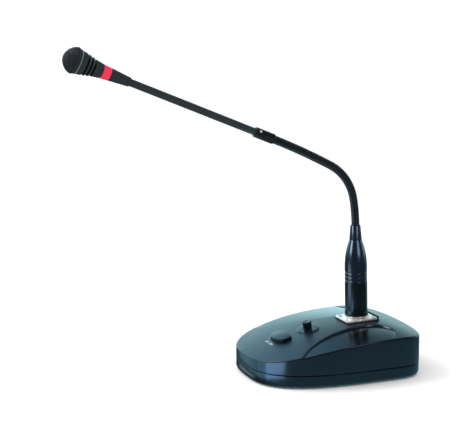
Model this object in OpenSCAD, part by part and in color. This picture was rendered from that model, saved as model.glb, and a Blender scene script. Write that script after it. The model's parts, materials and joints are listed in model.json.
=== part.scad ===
// Desk paging microphone: a weighted base with a talk button and a volume knob,
// and a gooseneck microphone with a lit ring that plugs into a socket on the base.
// Millimetres. Origin on the desk under the socket's axis, +X to the user's right,
// +Y away from the user, +Z up.

/* [Base] */
// Width of the base
base_w = 123; // [112:1:140]
// Reach of the base in front of the socket's axis
base_front = 111.5; // [104:0.5:125]
// Reach of the base behind the socket's axis
base_back = 42.5; // [40:0.5:55]
// Widest place of the base, measured behind the socket's axis
waist_y = 2; // [0:0.5:6]
// Power of the outline's front half, 2 is an ellipse
front_power = 3; // [2.6:0.1:4]
// Power of the outline's rear half
back_power = 4; // [3:0.1:5]
// Height of the top's highest place above the desk
base_h = 42; // [41:0.5:48]
// Highest place of the top, measured behind the socket's axis
peak_y = 12; // [8:0.5:14]
// Lengthwise radius of the top in front of its highest place
side_r = 384; // [372:2:400]
// Lengthwise radius of the top behind its highest place
back_r = 110; // [100:1:130]
// Crosswise radius of the top
crown_r = 540; // [500:2:700]
// Wall of the cover and of the tray's rim
wall = 2.5; // [2:0.1:3]
// Height of the seam between tray and cover
seam_z = 12; // [11:0.5:14]
// Width of the seam
seam_gap = 0.6; // [0.3:0.1:1]
// Play between pieces that are assembled and stay put
fit = 0.1; // [0.05:0.01:0.15]

/* [Side panels] */
// Distance from the middle to each scooped panel
panel_reach = 20.5; // [18.5:0.5:26]
// Radius of the panel's long front edge
panel_front_r = 108; // [90:1:130]
// Radius of the panel's rear corner
panel_back_r = 18.5; // [12:0.5:24]
// Place of the panel's corner, measured in front of the socket's axis
panel_y = 2; // [-4:0.5:10]
// Slant of the panel's rear edge
panel_slant = 25; // [10:1:35]
// Share of the crown's fall that the panel's step takes
panel_share = 0.54; // [0.45:0.01:0.7]

/* [Tray] */
// How far the pad lifts the tray off the desk
pad_lift = 1; // [0.6:0.1:2]
// Depth of the tray's recess for the pad
pad_recess = 0.5; // [0.3:0.1:1]
// Inset of the pad from the outline
pad_inset = 7; // [5:0.5:12]
// Thickness of the tray's floor
floor_t = 2; // [1.6:0.1:3]
// Thickness of the tongue inside the cover
tongue_t = 1.5; // [1.2:0.1:2]
// Height of the tongue above the seam
tongue_h = 3; // [2:0.5:4]
// Thickness of the ballast plate
ballast_t = 4; // [2:0.5:5]
// Inset of the rear case screws from the sides
screw_side = 16; // [14:0.5:20]
// Inset of the front case screws from the sides
screw_front_side = 25; // [23:0.5:28]
// Inset of the rear case screws from the back
screw_back = 22; // [18:0.5:26]
// Inset of the front case screws from the front
screw_front = 38; // [34:0.5:46]
// Diameter of the case screws
screw_d = 2.8; // [2.4:0.1:3.2]
// Depth of the case screws in the cover
screw_bite = 6; // [4:0.5:8]

/* [Main board] */
// Width of the main board
board_w = 60; // [50:1:70]
// Length of the main board
board_l = 46; // [36:1:54]
// Place of the main board, measured in front of the socket's axis
board_y = 20; // [16:1:26]
// Space between ballast plate and main board
board_lift = 3; // [2:0.5:4]
// Thickness of both boards
board_t = 1.6; // [1:0.1:2]
// Inset of the board screws from a board's edges
board_inset = 4; // [3.5:0.5:6]
// Diameter of the board screws
board_screw_d = 2; // [1.6:0.1:2.4]

/* [Controls] */
// Place of the talk button, measured in front of the socket's axis
button_y = 76; // [73:0.5:80]
// Width of the talk button
button_w = 24.5; // [22:0.5:30]
// Length of the talk button
button_l = 16; // [14:0.5:20]
// How far the talk button stands out
button_proud = 3; // [1.8:0.1:3.5]
// Travel of the talk button
button_travel = 1.5; // [1:0.1:2]
// Gap round the talk button
button_gap = 0.35; // [0.25:0.05:0.6]
// Place of the volume knob, measured in front of the socket's axis
knob_y = 49; // [45:0.5:50]
// Diameter of the volume knob
knob_d = 8; // [7.4:0.1:10]
// Height of the volume knob
knob_h = 6.5; // [6:0.5:12]
// Number of flutes round the knob
flutes = 18; // [12:1:20]
// Diameter of the dial round the knob
dial_d = 20.5; // [16:0.5:22]
// How far the dial stands out
dial_proud = 0.6; // [0.4:0.1:1]
// Diameter of the potentiometer's shaft
shaft_d = 4.5; // [3.5:0.1:5]
// Depth of the control board under the top
control_drop = 13.5; // [13:0.5:15]

/* [Socket] */
// Forward lean of the socket and plug
lean = 1.8; // [0:0.1:2]
// Width of the socket's flange
flange_w = 26; // [24:0.5:28]
// Length of the socket's flange
flange_l = 31; // [29:0.5:32]
// Thickness of the flange
flange_t = 3.2; // [3:0.1:3.6]
// How far the flange stands out of the top
flange_proud = 2.2; // [1.9:0.1:2.4]
// Bore of the socket
socket_d = 18.9; // [18:0.1:20]
// Depth of the socket
socket_depth = 17; // [16:0.5:18]
// Wall of the socket
socket_wall = 2.3; // [1.6:0.1:2.6]
// Width of the latch tab
latch_w = 23; // [16:0.5:24]
// Thickness of the latch tab
latch_t = 1.8; // [1.2:0.1:2.2]
// Travel of the latch tab
latch_travel = 1.5; // [1:0.1:2]
// Diameter of the circle that the contact pins stand on
pin_circle = 9.4; // [8.6:0.1:9.8]
// Diameter of the contact pins
pin_d = 2.4; // [2:0.1:2.6]

/* [Output jack] */
// Height of the output jack above the desk
jack_z = 23; // [22:0.5:25]
// Bore of the output jack
jack_d = 6.5; // [6.4:0.05:6.6]
// Diameter of the jack's bushing
bushing_d = 9; // [8.6:0.1:10]
// Width across flats of the jack's nut
nut_af = 12; // [11.5:0.1:14]
// Length of the jack's body
jack_l = 20; // [18:0.5:21]

/* [Plug] */
// Diameter of the plug's barrel
barrel_d = 20.6; // [20.2:0.1:22]
// Diameter of the barrel's foot
foot_d = 21.7; // [21.3:0.1:23]
// Height of the barrel up to the joint with the sleeve
barrel_h = 33.8; // [32:0.1:42]
// Length of the sleeve
sleeve_l = 38.8; // [36:0.2:44]
// Length of the sleeve's straight grip
grip_l = 13; // [12:0.5:16]
// Diameter at the sleeve's narrow end
sleeve_end_d = 11.3; // [10.8:0.1:12]
// Length of the neck collar
collar_l = 13.3; // [11:0.1:16]
// Diameter at the neck collar's narrow end
collar_end_d = 8.7; // [8.5:0.1:9.5]

/* [Gooseneck] */
// Diameter over the ribs
flex_d = 7; // [6.4:0.1:7.4]
// Depth of the ribs
rib_depth = 0.6; // [0.4:0.05:0.8]
// Distance from rib to rib
rib_pitch = 1.3; // [1.1:0.05:2]
// Bore of the gooseneck
flex_bore = 3; // [2.4:0.1:3.4]
// Length of the gooseneck that shows
flex_len = 126; // [110:1:150]
// Number of stiff links that stand for the gooseneck
links = 7; // [7:1:7]
// Gap between two links
link_gap = 0.9; // [0.8:0.02:0.96]
// Length of the first gentle bend
lead_len = 24; // [15:1:35]
// Slope at the end of the first bend, from upright
lead_angle = 10.5; // [5:0.5:20]
// Length of the main bend
bend_len = 40.5; // [36:0.5:50]
// Slope at the end of the main bend, from upright
bend_angle = 62.5; // [50:0.5:70]
// Slope of the stem, from upright
stem_angle = 68; // [60:0.5:75]

/* [Stem] */
// Diameter of the ferrule
ferrule_d = 8.5; // [8.3:0.1:10]
// Length of the ferrule
ferrule_l = 19; // [17:0.5:26]
// Diameter of the stem
stem_d = 5.8; // [5:0.1:6]
// Wall of the stem
stem_wall = 0.8; // [0.5:0.1:1.2]
// Length of the stem that shows
stem_len = 120; // [90:1:160]
// Depth of the stem and gooseneck in what holds them
seat_depth = 8; // [6:0.5:8.5]

/* [Head] */
// Diameter at the head's rear end
head_rear_d = 7.8; // [7.6:0.1:8.4]
// Length of the head's rear cone
shell_l = 18.3; // [16:0.1:22]
// Diameter of the light ring's rear edge
ring_rear_d = 11; // [10.4:0.1:12]
// Diameter of the light ring's front edge
ring_front_d = 12; // [11.6:0.1:12.6]
// Width of the light ring
ring_w = 6.8; // [6:0.2:9]
// Length of the ridged collar
ridged_l = 20.4; // [20:0.2:23]
// Length of the collar's plain cone
cone_l = 6.4; // [5:0.2:7]
// Diameter at the front of the plain cone
cone_d = 14.2; // [13.6:0.1:15]
// Length of the plain band in front of the ridges
band_l = 4.8; // [3.5:0.1:5]
// Diameter at the rear of the plain band
band_d = 18.8; // [18.2:0.1:19.4]
// Distance from groove to groove on the collar
ridge_step = 3.3; // [2.8:0.1:3.4]
// Diameter at the grille's rear edge
grille_rear_d = 20; // [19.6:0.1:20.6]
// Largest diameter of the grille
grille_d = 22.2; // [21.6:0.1:24]
// Length of the grille's flared side
flare_l = 4.5; // [4:0.1:6]
// Length of the grille's slanted shoulder
shoulder_l = 5.2; // [4.8:0.1:6]
// Diameter where the shoulder meets the round nose
nose_d = 15.6; // [15:0.1:16.4]
// Length of the grille's round nose
nose_l = 4.3; // [3.8:0.1:5]
// Wall of the grille
grille_wall = 0.7; // [0.5:0.1:0.9]
// Diameter of the grille's holes
hole_d = 1.2; // [0.8:0.1:1.3]
// Distance from hole to hole
hole_pitch = 1.9; // [1.8:0.1:2.4]

/* [Hidden] */
$fn = 64;

eps = 0.01;
clear = 0.3;
run_gap = 0.05;
outline_points = 96;

case_black = "#232d33";
satin_black = "#16191c";
metal_black = "#121417";
board_green = "#1f5a3a";
steel = "#9aa0a4";
nickel = "#c9ccc4";
brass = "#b59a55";

tray_top = seam_z - seam_gap / 2;
cover_bottom = seam_z + seam_gap / 2;
pad_t = pad_lift + pad_recess;
floor_z = pad_t + floor_t;
rim_t = wall + fit + tongue_t;
ballast_top = floor_z + ballast_t;
post_top = tray_top + tongue_h + 1;
case_post_d = 9;
case_head_d = 6;
case_head_h = 2.2;
case_head_z = pad_t + 0.6;
board_z = ballast_top + board_lift;
board_post_d = 6;
board_head_h = 1.2;
board_bite = 4;
chip_w = board_w / 6;
chip_l = 6.4;
chip_h = 3.4;
cap_d = 6.3;
cap_h = 7.5;
cap_side = 14;
cap_front = 10;
header_w = 18;
header_l = 5;
header_back = 8;

control_y = (button_y + knob_y) / 2;
control_half = (button_y - knob_y) / 2;
control_w = button_w + 18;
control_l = 2 * control_half + 22;
button_lip_t = 1.5;
button_lip_out = 1.2;
button_sag = (control_half + button_l / 2 + button_lip_out) * (control_half + button_l / 2 + button_lip_out)
    / (2 * side_r);
button_lip_z = -(wall + button_sag + clear);
button_bottom = button_lip_z - button_lip_t;
plunger_d = 4;
switch_w = 12;
switch_top = button_bottom - button_travel - clear;
plunger_end = switch_top - 2;
dial_z = dial_proud - control_half * control_half / (2 * side_r);
knob_z = dial_z + clear;
pot_w = 11;
pot_top = -6.5;
pot_neck_d = shaft_d + 2.5;
pot_neck_h = 2;
pot_well = 5;
shaft_end = pot_top - pot_well + 2 * fit;
shaft_grip = knob_h - 2;

socket_top = surface_z(0) + flange_proud;
socket_od = socket_d + 2 * socket_wall;
socket_lip_h = 2.3;
socket_bottom = -(socket_depth + 4);
flange_spot = [9.5, 12];
flange_screw_d = 2.9;
flange_head_d = 5.6;
flange_head_h = 1.5;
flange_head_rise = 0.5;
socket_pad_t = 4;
socket_pad_out = 3.5;
flange_corner = 2.5;
recess_gap = 0.5;
latch_y = flange_l / 2 + clear;
latch_top = -flange_proud - clear;
latch_bottom = -(flange_t + socket_pad_t + 2.5);
insert_d = socket_d - 3.3;
insert_top = -4;
nose_od = socket_d - 0.3;
nose_id = insert_d + 0.4;
nose_end = -(socket_depth - 1.5);
contact_wall = 0.5;
contact_d = pin_d + 2 * run_gap + 2 * contact_wall;
contact_top = insert_top - 2;
contact_tail = 4;
contact_tail_d = 1.6;
header_h = max(2, socket_top + socket_bottom - contact_tail - 2 * clear - board_z - board_t);
pin_end = nose_end + 0.5;
pin_tail = 3;
jack_w = 14;
jack_out = 3.5;
jack_back = 2;
nut_t = 2.4;

barrel_z = socket_lip_h + clear;
foot_h = barrel_z + 1.3;
foot_taper = 5;
plug_insert_bottom = insert_top + 2 * clear;
plug_insert_top = 10;
sleeve_z = barrel_h + run_gap;
spigot_l = 8;
spigot_d = nose_id + 1;
spigot_wall = 1.5;
chamfer = 0.3;
grooves = 3;
groove_step = 3.6;
groove_first = 1.5;
groove_depth = 0.5;
ogive_steps = 10;
sleeve_bore = sleeve_end_d - 2.3;
collar_z = sleeve_z + sleeve_l + run_gap;
collar_top = collar_z + collar_l;
collar_spigot = 7;

neck_root = [-sin(lean) * collar_top, socket_top + cos(lean) * collar_top];
neck_slopes = [
    [0, lean], [lead_len, lead_angle],
    [lead_len + bend_len, bend_angle], [flex_len, stem_angle]
];
neck_sides = 8;
link_len = flex_len / (links - 1);
link_end_d = flex_bore + 1.4;

ferrule_web = 1.5;
screw_spot_angle = 30;
ferrule_screw_d = 2.4;
stem_end = ferrule_l + stem_len;
ring_z = shell_l + run_gap;
ridged_z = ring_z + ring_w + run_gap;
grille_z = ridged_z + ridged_l + run_gap;
edge_z = grille_z + flare_l;
shoulder_z = edge_z + shoulder_l;
ring_spigot_l = 4.5;
ring_rear_spigot = 7.2;
ring_front_spigot = 9.2;
ring_bore = 7.8;
ring_wall = 1;
ring_step = 1;
lamp_board_t = 1;
lamp_lead_d = 2.4;
lamp_count = 4;
lamp_w = 1.2;
lamp_l = 1.6;
lamp_h = 1;
ridge_grooves = 3;
ridge_groove_w = 1.6;
ridge_depth = 1.1;
rim_bead = 0.35;
rim_bead_l = 0.8;
collar_cavity = 10;
collar_seat = 12.9;
collar_seat_l = 6;
holder_d = collar_seat - 2 * fit;
capsule_d = 10;
capsule_l = 8.5;
holder_floor = 1.5;
holder_front = 3;
holder_z = ridged_z + ridged_l - collar_seat_l + fit;
capsule_z = holder_z + holder_floor + fit;
rim_spigot = 1.5;
foam_gap = 0.15;

// Outlines: points along an arc, a rectangle with round corners, and the base seen from above.
function arc_points(centre, r, from, to, steps) =
    [for (i = [0:steps]) let (a = from + (to - from) * i / steps) centre + r * [cos(a), sin(a)]];

function rounded_rect(w, l, r) = [
    for (q = [0:3]) let (sx = (q == 0 || q == 3) ? 1 : -1, sy = q < 2 ? 1 : -1)
        each arc_points([sx * (w / 2 - r), sy * (l / 2 - r)], r, 90 * q, 90 * q + 90, 6)
];

function power_oval(half_w, front, back, n_front, n_back, count) = [
    for (i = [0:count - 1])
        let (t = 360 * (i + 0.5) / count, c = cos(t), s = sin(t), n = s < 0 ? n_front : n_back)
            [sign(c) * half_w * pow(abs(c), 2 / n), sign(s) * (s < 0 ? front : back) * pow(abs(s), 2 / n)]
];

function base_outline(inset) = [
    for (p = power_oval(base_w / 2 - inset, base_front + waist_y - inset, base_back - waist_y - inset,
                        front_power, back_power, outline_points)) p + [0, waist_y]
];

// The right panel seen from above: a long arc from the front, a rear corner and a slanted rear edge.
function panel_outline(grow) =
    let (c_front = [panel_reach + panel_front_r, -panel_y], c_back = [panel_reach + panel_back_r, -panel_y],
         r_back = panel_back_r + grow, a = 90 - panel_slant)
    concat(arc_points(c_front, panel_front_r + grow, 245, 180, 16),
           arc_points(c_back, r_back, 175, a, 10),
           [c_back + r_back * [cos(a), sin(a)] + base_w * [cos(-panel_slant), sin(-panel_slant)],
            [base_w, -base_front - base_w]]);

// Height and slope of the top along its middle.
function surface_z(y) =
    let (r = y > peak_y ? back_r : side_r) base_h - r + sqrt(r * r - (y - peak_y) * (y - peak_y));
function surface_tilt(y) = asin((peak_y - y) / side_r);

// The gooseneck's middle line in the plane X = 0, as [y, z] at length s above the collar.
// Its slope from upright changes evenly between the stations, so each stretch is an arc.
function bend(from, to, len) =
    let (turn = (to - from) * PI / 180)
    abs(turn) < 1e-6 ? len * [-sin(from), cos(from)]
    : len / turn * [cos(to) - cos(from), sin(to) - sin(from)];
function neck_slope(s) = lookup(s, neck_slopes);
function station(i) = neck_slopes[i][0];
function neck_knot(i) =
    i == 0 ? neck_root
    : neck_knot(i - 1) + bend(neck_slopes[i - 1][1], neck_slopes[i][1], station(i) - station(i - 1));
function neck_part(s) = s < station(1) ? 0 : s < station(2) ? 1 : s < station(3) ? 2 : 3;
function neck_point(s) =
    let (i = neck_part(s)) neck_knot(i) + bend(neck_slope(station(i)), neck_slope(s), s - station(i));

function neck_ring(s, r) = let (p = neck_point(s), a = neck_slope(s)) [
    for (k = [0:neck_sides - 1]) let (t = 360 * k / neck_sides)
        [r * cos(t), p[0] + r * sin(t) * cos(a), p[1] + r * sin(t) * sin(a)]
];

// Ends of link i along the gooseneck: the first and the last sit in the collar and in the ferrule.
function link_start(i) = i == 0 ? -seat_depth : (i - 0.5) * link_len + link_gap / 2;
function link_end(i) = i == links - 1 ? flex_len + seat_depth : (i + 0.5) * link_len - link_gap / 2;

// Frames: the control panel, the socket, the output jack, the stem and the head.
module on_controls(y = 0) {
    translate([0, -control_y, surface_z(-control_y)])
        rotate([surface_tilt(-control_y), 0, 0])
            translate([0, y, 0]) children();
}

module on_socket() {
    translate([0, 0, socket_top]) rotate([lean, 0, 0]) children();
}

module on_jack() {
    translate([0, base_back, jack_z]) rotate([-90, 0, 0]) children();
}

module on_stem() {
    p = neck_point(flex_len);
    translate([0, p[0], p[1]]) rotate([stem_angle, 0, 0]) children();
}

module on_head() {
    on_stem() translate([0, 0, stem_end]) children();
}

module case_spots() {
    for (x = [-1, 1]) {
        translate([x * (base_w / 2 - screw_side), base_back - screw_back, 0]) children();
        translate([x * (base_w / 2 - screw_front_side), -base_front + screw_front, 0]) children();
    }
}

module corner_spots(w, l) {
    for (x = [-1, 1], y = [-1, 1]) translate([x * w / 2, y * l / 2, 0]) children();
}

module main_board_spots() {
    translate([0, -board_y, 0])
        corner_spots(board_w - 2 * board_inset, board_l - 2 * board_inset) children();
}

module control_board_spots() {
    corner_spots(control_w - 2 * board_inset, control_l - 2 * board_inset) children();
}

module flange_spots() {
    for (s = [-1, 1]) translate([s * flange_spot[0], s * flange_spot[1], 0]) children();
}

module pin_spots() {
    for (a = [30, 150, 270]) rotate([0, 0, a]) translate([pin_circle / 2, 0, 0]) children();
}

module tube(r_out, r_in, h) {
    difference() {
        cylinder(r = r_out, h = h);
        translate([0, 0, -eps]) cylinder(r = r_in, h = h + 2 * eps);
    }
}

// A slab of the base's outline between two heights.
module slab(inset, z0, z1) {
    translate([0, 0, z0]) linear_extrude(z1 - z0) polygon(base_outline(inset));
}

// Everything under a top that is crowned both ways: an arc of across_r led along two arcs, a long one in front
// of the peak and a short one behind it, all drop under the ridge line.
module under_top(across_r, drop) {
    fan = 2 * asin(0.6 * base_w / (across_r - base_h));
    reach = base_front + base_back;
    translate([0, peak_y, base_h - drop - across_r]) rotate([90, 0, 0]) rotate([0, 0, 90 - fan / 2])
        rotate_extrude(angle = fan, $fn = 720) {
            intersection() {
                translate([across_r + drop - side_r, 0]) circle(r = side_r - drop, $fn = 720);
                translate([across_r - 2 * base_h, 0]) square([2 * base_h, reach]);
            }
            intersection() {
                translate([across_r + drop - back_r, 0]) circle(r = back_r - drop, $fn = 720);
                translate([across_r - 2 * base_h, -reach]) square([2 * base_h, reach]);
            }
        }
}

// What the scooped panels take off the top: all above a flatter crown that meets the top at the base's width.
module panel_scoops(grow, drop) {
    crown_fall = crown_r - sqrt(crown_r * crown_r - base_w * base_w / 4);
    sink = panel_share * crown_fall;
    floor_fall = crown_fall - sink;
    floor_r = (base_w * base_w / 4 + floor_fall * floor_fall) / (2 * floor_fall);
    difference() {
        for (m = [0, 1]) mirror([m, 0, 0])
            translate([0, 0, seam_z]) linear_extrude(base_h) polygon(panel_outline(grow));
        under_top(floor_r - drop, sink + drop);
    }
}

module cover_form(inset, drop) {
    difference() {
        intersection() {
            slab(inset, cover_bottom - (inset > 0 ? eps : 0), base_h + 1);
            under_top(crown_r - drop, drop);
        }
        panel_scoops(inset, drop);
    }
}

// Bosses that hang inside the cover, left standing when it is hollowed out.
module cover_bosses() {
    translate([0, 0, post_top + fit]) case_spots() cylinder(d = case_post_d, h = base_h);
    on_controls() translate([0, 0, -control_drop]) control_board_spots()
        cylinder(d = board_post_d, h = base_h);
    on_socket() translate([0, latch_t / 2, -flange_t - socket_pad_t]) linear_extrude(base_h)
        square([flange_w + 2 * socket_pad_out, flange_l + 2 * socket_pad_out + latch_t], center = true);
}

module base_cover() {
    color(case_black) difference() {
        union() {
            difference() {
                cover_form(0, 0);
                difference() {
                    cover_form(wall, wall);
                    cover_bosses();
                }
            }
            on_controls(control_half) translate([0, 0, -wall]) cylinder(d = dial_d, h = wall + dial_z);
        }
        translate([0, 0, post_top]) case_spots() cylinder(d = screw_d + 2 * fit, h = screw_bite + 1);
        on_controls() translate([0, 0, -control_drop - eps]) control_board_spots()
            cylinder(d = board_screw_d + 2 * fit, h = board_bite + 1);
        on_controls(-control_half) translate([0, 0, -control_drop / 2]) linear_extrude(control_drop)
            polygon(button_outline(button_gap));
        on_controls(control_half) translate([0, 0, -control_drop / 2])
            cylinder(d = shaft_d + 1.5, h = control_drop);
        on_socket() {
            translate([-flange_w / 2 - recess_gap, -flange_l / 2 - recess_gap, -flange_t])
                cube([flange_w + 2 * recess_gap, flange_l + 2 * recess_gap + latch_t, base_h]);
            translate([0, 0, socket_bottom]) cylinder(d = socket_od + 2 * fit, h = base_h);
            translate([0, 0, -flange_t - socket_pad_t - 1]) flange_spots()
                cylinder(d = flange_screw_d + 2 * fit, h = base_h);
            translate([-latch_w / 2 - clear, latch_y - clear, -flange_t - socket_pad_t - 1])
                cube([latch_w + 2 * clear, latch_t + 2 * clear, base_h]);
        }
        on_jack() translate([0, 0, -2 * wall]) cylinder(d = bushing_d + 2 * fit, h = 3 * wall);
    }
}

module bottom_tray() {
    color(case_black) difference() {
        union() {
            difference() {
                slab(0, pad_lift, tray_top);
                slab(rim_t, floor_z, tray_top + 1);
            }
            difference() {
                slab(wall + fit, tray_top - eps, tray_top + tongue_h);
                slab(rim_t, tray_top - 1, tray_top + tongue_h + 1);
            }
            translate([0, 0, floor_z - eps]) case_spots()
                cylinder(d = case_post_d, h = post_top - floor_z + eps);
            translate([0, 0, floor_z - eps]) main_board_spots()
                cylinder(d = board_post_d, h = board_z - floor_z + eps);
        }
        slab(pad_inset - fit, 0, pad_t);
        case_spots() {
            cylinder(d = case_head_d + 4 * fit, h = case_head_z + case_head_h);
            cylinder(d = screw_d + 4 * fit, h = base_h);
        }
        translate([0, 0, board_z - board_bite - 1]) main_board_spots()
            cylinder(d = board_screw_d + 2 * fit, h = board_bite + 2);
    }
}

module ballast_plate() {
    color(steel) difference() {
        slab(rim_t + 1, floor_z, ballast_top);
        case_spots() cylinder(d = case_post_d + 1, h = base_h);
        main_board_spots() cylinder(d = board_post_d + 1, h = base_h);
    }
}

module foot_pad() {
    color("#1b1c1d") difference() {
        slab(pad_inset, 0, pad_t);
        translate([0, 0, -1]) case_spots() cylinder(d = case_head_d + 2, h = pad_t + 2);
    }
}

module case_screws() {
    color(steel) translate([0, 0, case_head_z]) case_spots() difference() {
        union() {
            cylinder(d = case_head_d, h = case_head_h);
            cylinder(d = screw_d, h = post_top + screw_bite - case_head_z);
        }
        cross_recess(2.6, 1.2);
    }
}

// A cross recess that opens downwards, for screw heads.
module cross_recess(size, depth) {
    for (a = [0, 90]) rotate([0, 0, a]) translate([-size / 2, -0.35, -eps]) cube([size, 0.7, depth]);
}

// A pan head screw that is driven from above, with its shank down.
module pan_screw(d, head_d, head_h, shank) {
    difference() {
        union() {
            cylinder(d = head_d, h = head_h);
            translate([0, 0, -shank]) cylinder(d = d, h = shank + eps);
        }
        translate([0, 0, head_h]) mirror([0, 0, 1]) cross_recess(0.7 * head_d, 0.6 * head_h);
    }
}

module main_board() {
    color(board_green) difference() {
        translate([-board_w / 2, -board_y - board_l / 2, board_z]) cube([board_w, board_l, board_t]);
        main_board_spots() cylinder(d = board_screw_d + 4 * fit, h = base_h);
    }
}

// A preamplifier chip, two electrolytic capacitors and the header for the leads.
module main_board_parts() {
    color(satin_black) translate([0, -board_y, board_z + board_t]) {
        translate([-chip_w / 2, -chip_l / 2, 0]) cube([chip_w, chip_l, chip_h]);
        for (x = [-1, 1]) translate([x * cap_side, -cap_front, 0]) cylinder(d = cap_d, h = cap_h);
        translate([-header_w / 2, board_l / 2 - header_back, 0]) cube([header_w, header_l, header_h]);
    }
}

module main_board_screws() {
    color(steel) translate([0, 0, board_z + board_t]) main_board_spots()
        pan_screw(board_screw_d, 2 * board_screw_d, board_head_h, board_t + board_bite);
}

module control_board() {
    color(board_green) on_controls() difference() {
        translate([-control_w / 2, -control_l / 2, -control_drop - board_t])
            cube([control_w, control_l, board_t]);
        translate([0, 0, -control_drop - base_h / 2]) control_board_spots()
            cylinder(d = board_screw_d + 4 * fit, h = base_h);
    }
}

module control_board_screws() {
    color(steel) on_controls() translate([0, 0, -control_drop - board_t]) control_board_spots()
        mirror([0, 0, 1]) pan_screw(board_screw_d, 2 * board_screw_d, board_head_h, board_t + board_bite);
}

function button_outline(grow) =
    power_oval(button_w / 2 + grow, button_l / 2 + grow, button_l / 2 + grow, 2.3, 2.3, 48);

module switch_body() {
    color(satin_black) on_controls(-control_half) difference() {
        translate([-switch_w / 2, -switch_w / 2, -control_drop])
            cube([switch_w, switch_w, control_drop + switch_top]);
        translate([0, 0, plunger_end - button_travel - clear])
            cylinder(d = plunger_d + 2 * fit, h = control_drop);
    }
}

module switch_plunger() {
    color("#d8d6cf") on_controls(-control_half) translate([0, 0, plunger_end])
        cylinder(d = plunger_d, h = button_bottom - plunger_end);
}

module talk_button() {
    crown = 60;
    color(satin_black) on_controls(-control_half) {
        translate([0, 0, button_bottom]) linear_extrude(button_lip_t)
            polygon(button_outline(button_lip_out));
        intersection() {
            translate([0, 0, button_bottom]) linear_extrude(button_proud - button_bottom)
                polygon(button_outline(0));
            translate([0, 0, button_proud - crown]) sphere(r = crown, $fn = 360);
        }
    }
}

module pot_body() {
    color(steel) on_controls(control_half) difference() {
        union() {
            translate([-pot_w / 2, -pot_w / 2, -control_drop]) cube([pot_w, pot_w, control_drop + pot_top]);
            translate([0, 0, pot_top - eps]) cylinder(d = pot_neck_d, h = pot_neck_h + eps);
        }
        translate([0, 0, pot_top - pot_well]) cylinder(d = shaft_d + 2 * run_gap, h = 2 * pot_well);
    }
}

// The shaft has a flat where it grips the knob.
module pot_shaft() {
    color(brass) on_controls(control_half) difference() {
        translate([0, 0, shaft_end]) cylinder(d = shaft_d, h = knob_z + shaft_grip - shaft_end);
        translate([0.3 * shaft_d, -shaft_d, knob_z + 1]) cube([shaft_d, 2 * shaft_d, knob_h]);
    }
}

module volume_knob() {
    flute_d = PI * knob_d / flutes * 0.55;
    color(satin_black) on_controls(control_half) translate([0, 0, knob_z]) difference() {
        cylinder(d = knob_d, h = knob_h);
        for (i = [0:flutes - 1]) rotate([0, 0, 360 * (i + 0.5) / flutes])
            translate([knob_d / 2 + 0.15 * flute_d, 0, 1]) cylinder(d = flute_d, h = knob_h);
        translate([0, 0, -eps]) difference() {
            cylinder(d = shaft_d + 2 * run_gap, h = shaft_grip + fit);
            translate([0.3 * shaft_d + run_gap, -shaft_d, 1]) cube([shaft_d, 2 * shaft_d, knob_h]);
        }
        translate([-0.4, 0, knob_h - 0.5]) cube([0.8, knob_d, 1]);
    }
}

module socket_housing() {
    color(nickel) on_socket() difference() {
        union() {
            translate([0, 0, -flange_t]) linear_extrude(flange_t)
                polygon(rounded_rect(flange_w, flange_l, flange_corner));
            cylinder(d = socket_od, h = socket_lip_h);
            translate([0, 0, socket_bottom]) cylinder(d = socket_od, h = -socket_bottom - eps);
        }
        translate([0, 0, -socket_depth]) cylinder(d = socket_d, h = base_h);
        translate([0, 0, socket_bottom - 1]) cylinder(d = insert_d + 2 * fit, h = base_h);
        flange_spots() {
            translate([0, 0, -flange_t - 1]) cylinder(d = flange_screw_d + 2 * fit, h = flange_t + 2);
            translate([0, 0, -flange_head_h])
                cylinder(d1 = flange_screw_d + 2 * fit, d2 = flange_head_d + 2 * fit,
                         h = flange_head_h + eps);
        }
    }
}

module socket_insert() {
    color(satin_black) on_socket() difference() {
        translate([0, 0, socket_bottom - 1]) cylinder(d = insert_d, h = insert_top - socket_bottom + 1);
        pin_spots() {
            translate([0, 0, socket_bottom - 2])
                cylinder(d = contact_d + 2 * fit, h = contact_top - socket_bottom + 2);
            translate([0, 0, contact_top - 1]) cylinder(d = pin_d + 4 * fit, h = 4);
        }
    }
}

// Contact tubes with solder tails below the insert.
module socket_contacts() {
    color(brass) on_socket() pin_spots() difference() {
        translate([0, 0, socket_bottom - contact_tail]) union() {
            cylinder(d = contact_tail_d, h = contact_tail);
            translate([0, 0, contact_tail - 0.5])
                cylinder(d = contact_d, h = contact_top - fit - socket_bottom + 0.5);
        }
        translate([0, 0, pin_end - clear]) cylinder(d = pin_d + 2 * run_gap, h = socket_depth);
    }
}

module flange_screws() {
    color(steel) on_socket() flange_spots() difference() {
        union() {
            translate([0, 0, -flange_head_h])
                cylinder(d1 = flange_screw_d, d2 = flange_head_d, h = flange_head_h);
            translate([0, 0, -eps])
                cylinder(d1 = flange_head_d, d2 = 0.6 * flange_head_d, h = flange_head_rise + eps);
            translate([0, 0, -flange_t - socket_pad_t])
                cylinder(d = flange_screw_d, h = flange_t + socket_pad_t - flange_head_h + eps);
        }
        translate([0, 0, flange_head_rise]) mirror([0, 0, 1]) cross_recess(0.5 * flange_head_d, 1.2);
    }
}

// The tab is pushed down to free the plug.
module latch_tab() {
    color(satin_black) on_socket() translate([-latch_w / 2, latch_y, latch_bottom])
        cube([latch_w, latch_t, latch_top - latch_bottom]);
}

module output_jack() {
    color(satin_black) on_jack() difference() {
        union() {
            translate([-jack_w / 2, -jack_w / 2, -wall - fit - jack_l]) cube([jack_w, jack_w, jack_l]);
            translate([0, 0, -wall - fit - eps]) cylinder(d = bushing_d, h = wall + fit + jack_out + eps);
        }
        translate([0, 0, -wall - jack_l + jack_back]) cylinder(d = jack_d, h = base_back);
    }
}

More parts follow.
